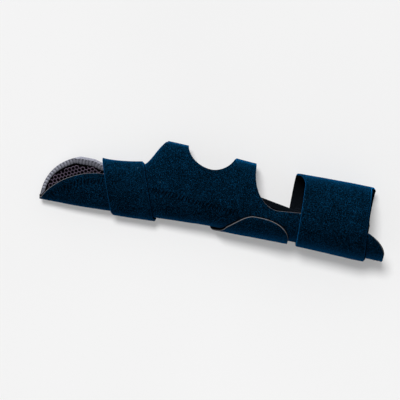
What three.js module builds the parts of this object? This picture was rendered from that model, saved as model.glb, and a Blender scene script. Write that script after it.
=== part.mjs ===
// Ulnar gutter splint for a right hand: a folded sheet of felt-faced foam that cradles the ring and
// little fingers, the outer edge of the hand and the forearm, closed by a finger strap and a forearm strap.
//
// Millimetres. +X runs from the fingertips towards the elbow, +Y from the little-finger side towards the
// thumb, +Z from the back of the hand up to the palm. The splint lies on its back-of-hand side.
//
// Every piece is a flat cut wrapped round the form of a hand and forearm. A place on the form has three
// coordinates: "along" (mm from the tip), "turn" (degrees round the form, from the back of the hand past
// the little-finger fold, the palm and the thumb side, and on past a full turn for a second layer) and
// "lift" (mm out from the form's skin). "Across" is mm towards the thumb, as seen from the palm.

import * as THREE from 'three';

const { lerp, clamp, smoothstep, degToRad } = THREE.MathUtils;

// Turns of the four sides of the form
const FOLD_TURN = 90;
const PALM_TURN = 180;
const THUMB_TURN = 270;
const FULL_TURN = 360;

// Cloth
const SHEET = 3.2; // foam laminate of the shell and straps
const LINING = 1.2; // mesh lining and edge band
const GAP = 0.3; // between the layers of one piece
const LINING_GAP = 0.45; // between shell and lining
const STRAP_GAP = 0.5; // between shell and straps
const LAYER = SHEET + GAP;

// Form of the hand and forearm inside the splint, by section. Height is from the back to the palm.
const FORM = [
  { along: -3, fold: 1.5, thumb: 40, height: 9.5 },
  { along: 20, fold: 1.5, thumb: 46, height: 15 },
  { along: 44, fold: 1.7, thumb: 45.6, height: 19 },
  { along: 56, fold: 2, thumb: 42.8, height: 20.5 },
  { along: 93, fold: 3.6, thumb: 47.2, height: 21.5 },
  { along: 97, fold: 3.7, thumb: 50, height: 22 },
  { along: 114.6, fold: 4, thumb: 74.6, height: 25.5 },
  { along: 136, fold: 4.8, thumb: 73.8, height: 30 },
  { along: 161, fold: 5.7, thumb: 73.5, height: 34 },
  { along: 185, fold: 6, thumb: 69.8, height: 36.5 },
  { along: 206, fold: 6, thumb: 68.4, height: 38.5 },
  { along: 250, fold: 5.6, thumb: 63.6, height: 46 },
  { along: 330, fold: 2.6, thumb: 63.6, height: 48 },
  { along: 348, fold: 2.3, thumb: 63.6, height: 48 },
];
const FOLD_REACH = 21; // from the little-finger side to the section's middle
const BACK_SHARE = 0.45; // part of the height that lies behind the middle
const BACK_POWER = 3.4; // a flat back with tight corners
const PALM_POWER = 2.4; // a rounder palm side
const FLATTENED = 0.7; // how far the lapped strap ends are pressed flat where they rest
const BACK_FACE = SHEET + STRAP_GAP + LAYER + SHEET - FLATTENED; // form's back, above the rest surface

// Facet lines round one quarter of a section, in degrees from its flat side
const BACK_LINES = [0, 27, 41, 51, 60, 70];
const PALM_LINES = [0, 25, 45, 58, 68, 77];
const TURN_LINES = [
  ...BACK_LINES,
  FOLD_TURN,
  ...PALM_LINES.map((line) => PALM_TURN - line).reverse(),
  ...PALM_LINES.slice(1).map((line) => PALM_TURN + line),
  THUMB_TURN,
  ...BACK_LINES.slice(1).map((line) => FULL_TURN - line).reverse(),
];
const MIN_STEP = 1.2; // least degrees between neighbouring points round a section
const HALVINGS = 30; // steps of the search for a turn

// Outline of the shell, as seen from the palm
const TIP_PALM = { start: 0, length: 60, height: 34.5, power: 0.75 };
const TIP_BACK = { start: -2, length: 56, height: 51.5, power: 0.42 };
const PALM_EDGE = [
  { along: 60, across: 34.5 },
  { along: 86, across: 36 },
  { along: 96.8, across: 54 },
  { along: 114.6, across: 80.5 },
];
const BACK_EDGE = [
  { along: 54, across: 51.5 },
  { along: 93, across: 50 },
  { along: 114, across: 47 },
  { along: 206, across: 42 },
  { along: 250, across: 34 },
  { along: 300, across: 30 },
];
const BACK_CURL = -62; // the back wall's edge curls up round the thumb side no further than this turn
const THUMB_HOLE = {
  from: 136,
  deepest: 163,
  to: 185,
  rim: 79,
  palmDepth: 20.6,
  backDepth: 22.6,
  power: 1.85,
};
const NOTCH = { from: 206, to: 235, top: 69.7, bottom: 29.7 }; // curved cut-out at the wrist
const FOREARM_EDGE = [
  { along: 235, across: 29.7 },
  { along: 256, across: 31.6 },
  { along: 300, across: 29.5 },
];
const ELBOW_END = { from: 300, to: 346 };
const WRAP_LEFT = { from: 114.6, to: 175, top: 79, bottom: -2 }; // panel behind the hand, straight edge
const WRAP_RIGHT = { from: 206, to: 250, top: 71, bottom: 8 }; // its curved edge at the wrist
const FOLD_CROSSING = { from: 170, to: 188 }; // the wrap's front edge runs on a slant over the fold here
const TONGUE = { from: 177, top: 213, crest: 218, to: 250, height: 20, power: 2.2 };
const WEB_EDGE = { turn: 256, from: 110 }; // the palm panel's edge goes on to the thumb side from here
const WRAP_LIFT = { from: 262, to: 316 }; // turns over which the wrap climbs on to the back wall

// Lining and edge band
const BAND = { width: 5, to: 56 };
const SEAM = 0.9; // between band and lining
const LINING_SEAM = [
  { along: 0, across: 28.6 },
  { along: 112, across: 28 },
  { along: 180, across: 21.5 },
  { along: 260, across: 20 },
  { along: 300, across: 20 },
];
const LINING_END = 338;
const LINING_STEP = 10; // least distance between the lining's stations past the tip

// Straps. Each starts behind the hand, climbs on to its own start as it comes round again, and ends there
// with rounded corners. Its edges are given by turn, and its slant is mm towards the tip for each mm across.
const FINGER_STRAP = {
  startTurn: -30,
  climb: { from: 276, to: 322 },
  endTurn: 388,
  corner: 7,
  slant: 0.36,
  edges: [
    { turn: -30, left: 70.5, right: 112.8 },
    { turn: 40, left: 73, right: 115 },
    { turn: 70, left: 74.4, right: 116 },
    { turn: 90, left: 73.1, right: 114.6 },
    { turn: 112, left: 70.5, right: 112.8 },
    { turn: 400, left: 70.5, right: 112.8 },
  ],
};
const FOREARM_STRAP = {
  startTurn: -14,
  climb: { from: 284, to: 333 },
  endTurn: 398,
  corner: 9,
  slant: 0,
  edges: [
    { turn: -30, left: 251, right: 328 },
    { turn: 45, left: 258.2, right: 328.6 },
    { turn: 90, left: 258.8, right: 328.4 },
    { turn: 180, left: 257.4, right: 324 },
    { turn: 235, left: 256.4, right: 322.6 },
    { turn: 262, left: 250.5, right: 322.6 },
    { turn: 290, left: 247, right: 327 },
    { turn: 400, left: 247, right: 327.5 },
  ],
};
const SLANT_ROUNDS = 6; // steps of the search for a slanted strap's place
const STRAP_COLUMNS = [0, 0.05, 0.15, 0.33, 0.5, 0.67, 0.85, 0.95, 1]; // shares of a strap's width

// Stations along the shell: each span runs to its end in steps of about the given size
const STATION_START = -2;
const STATION_SPANS = [
  { to: 0, step: 1 },
  { to: 12, step: 2 },
  { to: 60, step: 6 },
  { to: 86, step: 6.5 },
  { to: 96.8, step: 3.6 },
  { to: 114.6, step: 4.5 },
  { to: 118, step: 1.7 },
  { to: 136, step: 6 },
  { to: 139, step: 1.5 },
  { to: 182, step: 6.2 },
  { to: 185, step: 1.5 },
  { to: 206, step: 5 },
  { to: 208, step: 1 },
  { to: 235, step: 4.5 },
  { to: 245, step: 3.3 },
  { to: 250, step: 1.7 },
  { to: 300, step: 9.6 },
  { to: 340, step: 6.7 },
  { to: 346, step: 2 },
];
const STATION_GAP = 0.2; // least distance of a station from the end of a strip

// Finishes
const FELT = { color: 0x04283f, roughness: 0.95 };
const MESH = { color: 0x2a2430, roughness: 0.85 };
const OVERLOCK = { color: 0x9b9ca8, roughness: 0.8 };

// Straight-line reading of one column of a table
function readTable(rows, input, output, at) {
  const next = rows.findIndex((row) => row[input] >= at);
  if (next <= 0) {
    return rows.at(next)[output];
  }
  const [a, b] = [rows[next - 1], rows[next]];
  return lerp(a[output], b[output], (at - a[input]) / (b[input] - a[input]));
}

// Smooth reading of one column of the form, with no overshoot between sections
function readForm(key, at) {
  const last = FORM.length - 1;
  const index = clamp(FORM.findLastIndex((row) => row.along <= at) + 1, 1, last);
  const slopeOf = (i) => (FORM[i + 1][key] - FORM[i][key]) / (FORM[i + 1].along - FORM[i].along);
  const tangentAt = (i) => {
    if (i === 0 || i === last) {
      return slopeOf(Math.min(i, last - 1));
    }
    const [before, after] = [slopeOf(i - 1), slopeOf(i)];
    return before * after <= 0 ? 0 : (2 * before * after) / (before + after);
  };
  const [a, b] = [FORM[index - 1], FORM[index]];
  const span = b.along - a.along;
  const x = clamp((at - a.along) / span, 0, 1);
  const rise = x * x * (3 - 2 * x);
  const leaving = span * tangentAt(index - 1) * x * (1 - x) ** 2;
  const arriving = span * tangentAt(index) * x * x * (1 - x);
  return lerp(a[key], b[key], rise) + leaving - arriving;
}

// Point of the form's section on a facet line, and its outward normal
function sectionPoint(along, turn) {
  const height = readForm('height', along);
  const middle = readForm('fold', along) + FOLD_REACH;
  const sine = Math.sin(degToRad(turn));
  const cosine = Math.cos(degToRad(turn));
  const reach = sine > 0 ? FOLD_REACH : readForm('thumb', along) - middle;
  const depth = height * (cosine > 0 ? BACK_SHARE : 1 - BACK_SHARE);
  const power = cosine > 0 ? BACK_POWER : PALM_POWER;
  const [u, v] = [Math.abs(sine), Math.abs(cosine)];
  const size = (u ** power + v ** power) ** (-1 / power);
  const normal = new THREE.Vector2(
    (-Math.sign(sine) * u ** (power - 1)) / reach,
    (-Math.sign(cosine) * v ** (power - 1)) / depth,
  ).normalize();
  const centre = BACK_FACE + BACK_SHARE * height;
  return { y: middle - reach * sine * size, z: centre - depth * cosine * size, normal };
}

// Point at a given lift, on the facets between lines, so that stacked layers stay parallel
function wrappedPoint(along, turn, lift) {
  const whole = Math.floor(turn / FULL_TURN) * FULL_TURN;
  const part = turn - whole;
  const index = TURN_LINES.findLastIndex((line) => line <= part);
  const from = TURN_LINES[index];
  const to = TURN_LINES[index + 1] ?? FULL_TURN;
  const ends = [from, to].map((line) => {
    const { y, z, normal } = sectionPoint(along, line);
    return new THREE.Vector3(along, y + lift * normal.x, z + lift * normal.y);
  });
  const point = ends[0].lerp(ends[1], (part - from) / (to - from));
  point.z = Math.max(point.z, 0);
  return point;
}

// Turn between two limits where the sheet's outer face is at a given distance across
function turnAcross(along, across, lift, limits) {
  let [low, high] = limits;
  const rising = wrappedPoint(along, high, lift).y > wrappedPoint(along, low, lift).y;
  for (let step = 0; step < HALVINGS; step += 1) {
    const middle = (low + high) / 2;
    if (wrappedPoint(along, middle, lift).y < across === rising) {
      low = middle;
    } else {
      high = middle;
    }
  }
  return (low + high) / 2;
}

// Turn that lies a given distance round from an edge of the back wall, towards the fold
function turnBeyond(along, edge, distance, lift) {
  const start = wrappedPoint(along, edge, lift);
  let [low, high] = [edge, FOLD_TURN];
  for (let step = 0; step < HALVINGS; step += 1) {
    const middle = (low + high) / 2;
    if (wrappedPoint(along, middle, lift).distanceTo(start) < distance) {
      low = middle;
    } else {
      high = middle;
    }
  }
  return (low + high) / 2;
}

const PALM_SIDE = [FOLD_TURN, THUMB_TURN];
const BACK_SIDE = [THUMB_TURN - FULL_TURN, FOLD_TURN];
const palmTurn = (along, across, lift = SHEET) => turnAcross(along, across, lift, PALM_SIDE);
const backTurn = (along, across, lift = SHEET) => turnAcross(along, across, lift, BACK_SIDE);

// Distance across of a leaf-shaped tip edge, optionally set in from the cut edge
function tipAcross(tip, along, inset = 0) {
  const share = clamp((along - tip.start - inset) / (tip.length - inset), 0, 1);
  return (tip.height - inset) * (1 - (1 - share) ** 2) ** tip.power;
}

// Quarter ellipse that closes both walls at the elbow end
function endShare(along, inset = 0) {
  const share = clamp((along - ELBOW_END.from) / (ELBOW_END.to - inset - ELBOW_END.from), 0, 1);
  return Math.sqrt(1 - share ** 2);
}

// Distance across of a straight cut
function straight({ from, to, top, bottom }, along) {
  return lerp(top, bottom, (along - from) / (to - from));
}

// Distance across of a cut that drops steeply and levels out like a quarter ellipse
function hollow({ from, to, top, bottom }, along) {
  const share = (to - along) / (to - from);
  return lerp(top, bottom, Math.sqrt(1 - share ** 2));
}

// Free edge of the back wall
function backAcross(along, inset = 0) {
  if (along < BACK_EDGE[0].along) {
    return tipAcross(TIP_BACK, along, inset);
  }
  const level = readTable(BACK_EDGE, 'along', 'across', Math.min(along, ELBOW_END.from));
  return (level - inset) * endShare(along, inset);
}

// Free edge of the palm wall, first up the tip and palm panel, later along wrist notch and forearm
function palmAcross(along, inset = 0) {
  if (along < PALM_EDGE[0].along) {
    return tipAcross(TIP_PALM, along, inset);
  }
  if (along < NOTCH.from) {
    return readTable(PALM_EDGE, 'along', 'across', Math.min(along, WRAP_LEFT.from)) - inset;
  }
  if (along < NOTCH.to) {
    return hollow(NOTCH, along) - inset;
  }
  const level = readTable(FOREARM_EDGE, 'along', 'across', Math.min(along, ELBOW_END.from));
  return (level - inset) * endShare(along, inset);
}

// Share of the tongue's reach that is left towards its round end
function tongueEnd(along) {
  const share = clamp((along - TONGUE.crest) / (TONGUE.to - TONGUE.crest), 0, 1);
  return Math.sqrt(1 - share ** TONGUE.power);
}

// Outline of the tongue on the palm wall
function tongueAcross(along) {
  return TONGUE.height * smoothstep(along, TONGUE.from, TONGUE.top) * tongueEnd(along);
}

// Edges of the shell as turns
const OUTER_LIFT = LAYER + SHEET;
const shellBackEdge = (along) => Math.max(BACK_CURL, backTurn(along, backAcross(along)));
const shellPalmEdge = (along) => (along === NOTCH.from ? THUMB_TURN : palmTurn(along, palmAcross(along)));
const wrapTurn = (along, across) => FULL_TURN + backTurn(along, across, OUTER_LIFT);
const tongueTurn = (along) => FULL_TURN + palmTurn(along, tongueAcross(along), OUTER_LIFT);

// Edge of the palm panel up to the thumb side
function webEdge(along) {
  const limit = lerp(WEB_EDGE.turn, THUMB_TURN, smoothstep(along, WEB_EDGE.from, WRAP_LEFT.from));
  return Math.min(limit, shellPalmEdge(along));
}

// Edge of the palm panel, then of the panel behind the hand, then of the tongue
function wrapFrontEdge(along) {
  if (along <= WRAP_LEFT.from) {
    return along === WRAP_LEFT.from ? THUMB_TURN : webEdge(along);
  }
  const { from, to } = FOLD_CROSSING;
  if (along < from) {
    return wrapTurn(along, straight(WRAP_LEFT, along));
  }
  if (along < to) {
    const start = wrapTurn(from, straight(WRAP_LEFT, from));
    return lerp(start, tongueTurn(to), (along - from) / (to - from));
  }
  return along === TONGUE.to ? FULL_TURN + FOLD_TURN : tongueTurn(along);
}

// Edge of the panel behind the hand on the wrist side, which comes round to the tongue's end at the fold
function wrapRearEdge(along) {
  if (along === WRAP_RIGHT.from) {
    return THUMB_TURN;
  }
  if (along === WRAP_RIGHT.to) {
    return FULL_TURN + FOLD_TURN;
  }
  return wrapTurn(along, hollow(WRAP_RIGHT, along) * tongueEnd(along));
}

// Lower edge of the thumb hole, from one end of it to the other
function holeAcross(along, depth) {
  const end = along < THUMB_HOLE.deepest ? THUMB_HOLE.from : THUMB_HOLE.to;
  const share = (along - THUMB_HOLE.deepest) / (end - THUMB_HOLE.deepest);
  const { rim, power } = THUMB_HOLE;
  return rim - depth * Math.max(0, 1 - share ** power) ** (1 / power);
}

function holeEdge(turnAt, depth) {
  return (along) => {
    const atEnd = along === THUMB_HOLE.from || along === THUMB_HOLE.to;
    return atEnd ? THUMB_TURN : turnAt(along, holeAcross(along, depth));
  };
}

const holePalmEdge = holeEdge(palmTurn, THUMB_HOLE.palmDepth);
const holeBackEdge = holeEdge(wrapTurn, THUMB_HOLE.backDepth);

// Stations along the shell
function stations() {
  const list = [STATION_START];
  for (const { to, step } of STATION_SPANS) {
    const from = list.at(-1);
    const count = Math.max(1, Math.round((to - from) / step));
    for (let i = 1; i <= count; i += 1) {
      list.push(i === count ? to : lerp(from, to, i / count));
    }
  }
  return list;
}

const STATIONS = stations();

function stationsBetween(from, to) {
  const inside = STATIONS.filter((at) => at > from + STATION_GAP && at < to - STATION_GAP);
  return [from, ...inside, to];
}

// Closed sheet of a given thickness. Each strip of the cut is a list of columns, and each column runs
// from its low to its high turn. The point function places a column and turn on the inner or outer face.
function wrappedSheet(strips, pointAt) {
  const inner = [];
  const outer = [];
  const indexOf = new Map();
  const vertex = (column, turn) => {
    const key = `${column.toFixed(3)} ${turn.toFixed(3)}`;
    if (!indexOf.has(key)) {
      indexOf.set(key, inner.length);
      inner.push(pointAt(column, turn, 0));
      outer.push(pointAt(column, turn, 1));
    }
    return indexOf.get(key);
  };
  const columnOf = (strip, column) => {
    const low = strip.low(column);
    const high = strip.high(column);
    if (high - low < MIN_STEP) {
      return [{ turn: low, id: vertex(column, low) }];
    }
    const lines = [-FULL_TURN, 0, FULL_TURN].flatMap((whole) => TURN_LINES.map((line) => whole + line));
    const inside = lines.filter((line) => line > low + MIN_STEP && line < high - MIN_STEP);
    return [low, ...inside, high].map((turn) => ({ turn, id: vertex(column, turn) }));
  };
  const faces = strips.flatMap((strip) => {
    const columns = strip.columns.map((column) => columnOf(strip, column));
    return columns.slice(1).flatMap((right, i) => zip(columns[i], right));
  });
  return closedGeometry(inner, outer, faces);
}

// Triangles between two neighbouring columns
function zip(left, right) {
  const faces = [];
  let [i, j] = [0, 0];
  while (i < left.length - 1 || j < right.length - 1) {
    const canLeft = i < left.length - 1;
    const canRight = j < right.length - 1;
    const goLeft = canLeft && (!canRight || left[i + 1].turn <= right[j + 1].turn);
    const apex = goLeft ? left[i + 1] : right[j + 1];
    faces.push([left[i].id, right[j].id, apex.id]);
    if (goLeft) {
      i += 1;
    } else {
      j += 1;
    }
  }
  return faces;
}

// Outer face, inner face and the rim that joins them along every open edge
function closedGeometry(inner, outer, faces) {
  const count = outer.length;
  const edges = new Map();
  for (const [a, b, c] of faces) {
    for (const [p, q] of [[a, b], [b, c], [c, a]]) {
      if (!edges.delete(`${q} ${p}`)) {
        edges.set(`${p} ${q}`, [p, q]);
      }
    }
  }
  const rim = [...edges.values()].flatMap(([p, q]) => [
    [q, p, p + count],
    [q, p + count, q + count],
  ]);
  const back = faces.map(([a, b, c]) => [a + count, c + count, b + count]);
  const geometry = new THREE.BufferGeometry();
  geometry.setFromPoints([...outer, ...inner]);
  geometry.setIndex([...faces, ...back, ...rim].flat());
  geometry.computeVertexNormals();
  return geometry;
}

// Folded gutter, palm panel, wrap and tongue in one cut
function gutterShell() {
  const liftAt = (turn) => LAYER * smoothstep(turn, WRAP_LIFT.from, WRAP_LIFT.to);
  const strips = [
    { from: STATION_START, to: THUMB_HOLE.from, low: shellBackEdge, high: wrapFrontEdge },
    { from: THUMB_HOLE.from, to: THUMB_HOLE.to, low: shellBackEdge, high: holePalmEdge },
    { from: THUMB_HOLE.from, to: THUMB_HOLE.to, low: holeBackEdge, high: wrapFrontEdge },
    { from: THUMB_HOLE.to, to: NOTCH.from, low: shellBackEdge, high: wrapFrontEdge },
    { from: NOTCH.from, to: TONGUE.to, low: shellBackEdge, high: shellPalmEdge },
    { from: NOTCH.from, to: TONGUE.to, low: wrapRearEdge, high: wrapFrontEdge },
    { from: TONGUE.to, to: ELBOW_END.to, low: shellBackEdge, high: shellPalmEdge },
  ].map((strip) => ({ ...strip, columns: stationsBetween(strip.from, strip.to) }));
  return wrappedSheet(strips, (along, turn, face) => wrappedPoint(along, turn, liftAt(turn) + face * SHEET));
}

// Point on the lining's layer inside the shell, and its edges at an inset from the shell's
const innerPoint = (along, turn, face) => wrappedPoint(along, turn, -LINING_GAP - (1 - face) * LINING);
const innerPalmTurn = (along, across) => palmTurn(along, across, -LINING_GAP);

function innerBackEdge(along, inset = 0) {
  const edge = Math.max(BACK_CURL, backTurn(along, backAcross(along, inset), -LINING_GAP));
  return inset === 0 ? edge : Math.max(edge, turnBeyond(along, innerBackEdge(along), inset, -LINING_GAP));
}

// Edge band along the inside of both tip edges, meeting at the tip
function tipEdgeBand() {
  const { width, to } = BAND;
  const meet = TIP_PALM.start + width;
  const palmEdge = (along, inset = 0) => innerPalmTurn(along, palmAcross(along, inset));
  const backInset = (along) => (along === meet ? FOLD_TURN : innerBackEdge(along, width));
  const palmInset = (along) => (along === meet ? FOLD_TURN : palmEdge(along, width));
  const strips = [
    { from: TIP_PALM.start, to: meet, low: innerBackEdge, high: palmEdge },
    { from: meet, to, low: innerBackEdge, high: backInset },
    { from: meet, to, low: palmInset, high: palmEdge },
  ].map((strip) => ({ ...strip, columns: stationsBetween(strip.from, strip.to) }));
  return wrappedSheet(strips, innerPoint);
}

// Mesh lining inside the gutter, from the edge band to the seam on the palm wall
function meshLining() {
  const inset = BAND.width + SEAM;
  const from = TIP_PALM.start + inset;
  const low = (along) => (along === from ? FOLD_TURN : innerBackEdge(along, inset));
  const high = (along) => {
    const level = readTable(LINING_SEAM, 'along', 'across', Math.min(along, ELBOW_END.from));
    const seam = Math.min(level * endShare(along, inset), palmAcross(along, inset));
    return along === from ? FOLD_TURN : innerPalmTurn(along, seam);
  };
  const columns = stationsBetween(from, LINING_END).reduce((kept, at) => {
    const past = at > BAND.to && at < LINING_END && at - kept.at(-1) < LINING_STEP;
    return past ? kept : [...kept, at];
  }, []);
  return wrappedSheet([{ columns, low, high }], innerPoint);
}

// Place of a share of a strap's width along the splint
function strapAlong({ edges, slant }, share, turn, lift) {
  const square = lerp(readTable(edges, 'turn', 'left', turn), readTable(edges, 'turn', 'right', turn), share);
  let along = square;
  for (let round = 0; round < SLANT_ROUNDS; round += 1) {
    along = square - slant * wrappedPoint(along, turn, lift).y;
  }
  return along;
}

// Strap that goes once round and laps over its own start
function lappedStrap(strap) {
  const { left, right } = strap.edges.at(-1);
  const turnPerMm = THREE.MathUtils.radToDeg(1 / FOLD_REACH);
  const cornerInset = (share) => {
    const fromEdge = Math.min(share, 1 - share) * (right - left);
    const rise = Math.max(0, strap.corner - fromEdge);
    return strap.corner - Math.sqrt(strap.corner ** 2 - rise ** 2);
  };
  const strip = {
    columns: STRAP_COLUMNS,
    low: () => strap.startTurn,
    high: (share) => strap.endTurn - cornerInset(share) * turnPerMm,
  };
  const liftAt = (turn) => SHEET + STRAP_GAP + LAYER * smoothstep(turn, strap.climb.from, strap.climb.to);
  return wrappedSheet([strip], (share, turn, face) => {
    const lift = liftAt(turn) + face * SHEET;
    return wrappedPoint(strapAlong(strap, share, turn, lift), turn, lift);
  });
}

function piece(name, geometry, finish) {
  const mesh = new THREE.Mesh(geometry, new THREE.MeshStandardMaterial(finish));
  mesh.name = name;
  return mesh;
}

const splint = new THREE.Group();
splint.add(
  piece('gutter_shell', gutterShell(), FELT),
  piece('mesh_lining', meshLining(), MESH),
  piece('tip_edge_band', tipEdgeBand(), OVERLOCK),
  piece('finger_strap', lappedStrap(FINGER_STRAP), FELT),
  piece('forearm_strap', lappedStrap(FOREARM_STRAP), FELT),
);

// Origin at the middle of the splint's box, on the surface that it rests on
const box = new THREE.Box3().setFromObject(splint);
const centre = box.getCenter(new THREE.Vector3());
splint.position.set(-centre.x, -centre.y, -box.min.z);

export default splint;
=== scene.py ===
"""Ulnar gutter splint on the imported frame: foam shell and straps, net lining and overlocked tip."""

import logging
import math
from dataclasses import dataclass, fields
from enum import Enum, IntEnum
from typing import Callable

import bpy
import numpy as np
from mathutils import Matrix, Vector


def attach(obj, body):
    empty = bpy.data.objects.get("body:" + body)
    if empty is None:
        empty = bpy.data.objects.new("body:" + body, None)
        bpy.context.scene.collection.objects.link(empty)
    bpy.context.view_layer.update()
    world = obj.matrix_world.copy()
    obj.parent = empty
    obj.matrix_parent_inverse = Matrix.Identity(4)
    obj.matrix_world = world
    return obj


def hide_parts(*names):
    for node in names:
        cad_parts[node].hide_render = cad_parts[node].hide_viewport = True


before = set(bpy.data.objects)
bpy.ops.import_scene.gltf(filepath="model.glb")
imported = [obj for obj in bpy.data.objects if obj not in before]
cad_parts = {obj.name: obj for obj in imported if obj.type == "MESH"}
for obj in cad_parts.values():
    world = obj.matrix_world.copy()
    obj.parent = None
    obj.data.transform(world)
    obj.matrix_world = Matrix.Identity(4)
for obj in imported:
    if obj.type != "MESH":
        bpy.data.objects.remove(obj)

log = logging.getLogger("splint")

Array = np.ndarray
Rows = tuple[tuple[float, float], ...]
Span = tuple[float, float]
Material = bpy.types.Material
Tree = bpy.types.NodeTree
Node = bpy.types.Node
Socket = bpy.types.NodeSocket
Thing = bpy.types.Object

# The form and every cut on it are in millimetres. SplintForm.place turns them into the frame's metres.
MM = 0.001

# Turns of the sides of the form, in degrees from its back
FOLD_TURN = 90.0
THUMB_TURN = 270.0
FULL_TURN = 360.0

# Thickness of the laminate, and the gaps that keep the layers apart
SHEET = 3.2
GAP = 0.3
LINING_GAP = 0.45
STRAP_GAP = 0.5
LAYER = SHEET + GAP

# Least length that is divided by, for rows of points that meet in one place
NO_LENGTH = 1e-12

# The sRGB curve: straight up to the knee, then a power
SRGB_KNEE = 0.04045
SRGB_SLOPE = 12.92
SRGB_OFFSET = 0.055
SRGB_POWER = 2.4
BYTE = 255

# Brushed cloth and paper have no gloss at all
MATT = {"Roughness": 1.0, "Specular IOR Level": 0.0}

# Bead of one unit across, which is stretched into each short thread
BEAD = {"Segments": 8, "Rings": 6, "Radius": 0.5}


class Slot(Enum):
    """Material slots."""

    FELT = "felt"
    MESH = "mesh"
    OVERLOCK = "overlock"


class Held(Enum):
    """Ways in which a sheet keeps its shape."""

    FOLDED = "folded"
    STRETCHED = "stretched"


def smooth_rise(at: Array, start: float, stop: float) -> Array:
    """Rises smoothly from 0 at start to 1 at stop."""
    share = np.clip((at - start) / (stop - start), 0, 1)
    return share * share * (3 - 2 * share)


def read_rows(rows: Rows, along: Array) -> Array:
    """Straight-line reading of a table of along and across."""
    return np.interp(along, *zip(*rows))


def spaced(start: float, spans: Rows) -> Array:
    """Places along the splint.

    Args:
        start: First place, in millimetres.
        spans: End of each span and its step, in millimetres.

    Returns:
        Places that meet the end of every span.
    """
    places = [np.array([start])]
    for stop, step in spans:
        count = max(1, round((stop - start) / step))
        places.append(np.linspace(start, stop, count + 1)[1:])
        start = stop
    return np.concatenate(places)


@dataclass(frozen=True)
class Section:
    """One section of the form. Height is from the back to the palm."""

    along: float
    fold: float
    thumb: float
    height: float


@dataclass(frozen=True)
class Unevenness:
    """Soft unevenness of the foam: a long and a short wave along the form that drift round it."""

    height: float = 0.16
    long_wave: float = 13
    long_drift: float = 31
    long_count: int = 2
    bend: float = 1.6
    short_wave: float = 6.1
    short_drift: float = 17
    short_count: int = 3
    drift_count: int = 2
    short_share: float = 0.6

    def at(self, along: Array, turn: Array) -> Array:
        """Extra lift, the same for every layer at one place.

        Args:
            along: Places along the splint.
            turn: Degrees round the form.

        Returns:
            Millimetres out from the form, or in where below 0.
        """
        around = np.radians(turn)
        waving = np.sin(along / self.long_wave + self.bend * np.sin(around))
        waving = waving * np.cos(self.long_count * around + along / self.long_drift)
        rippling = np.sin(along / self.short_wave + self.short_count * around)
        rippling = rippling * np.sin(along / self.short_drift - self.drift_count * around)
        return self.height * (waving + self.short_share * rippling)


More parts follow.
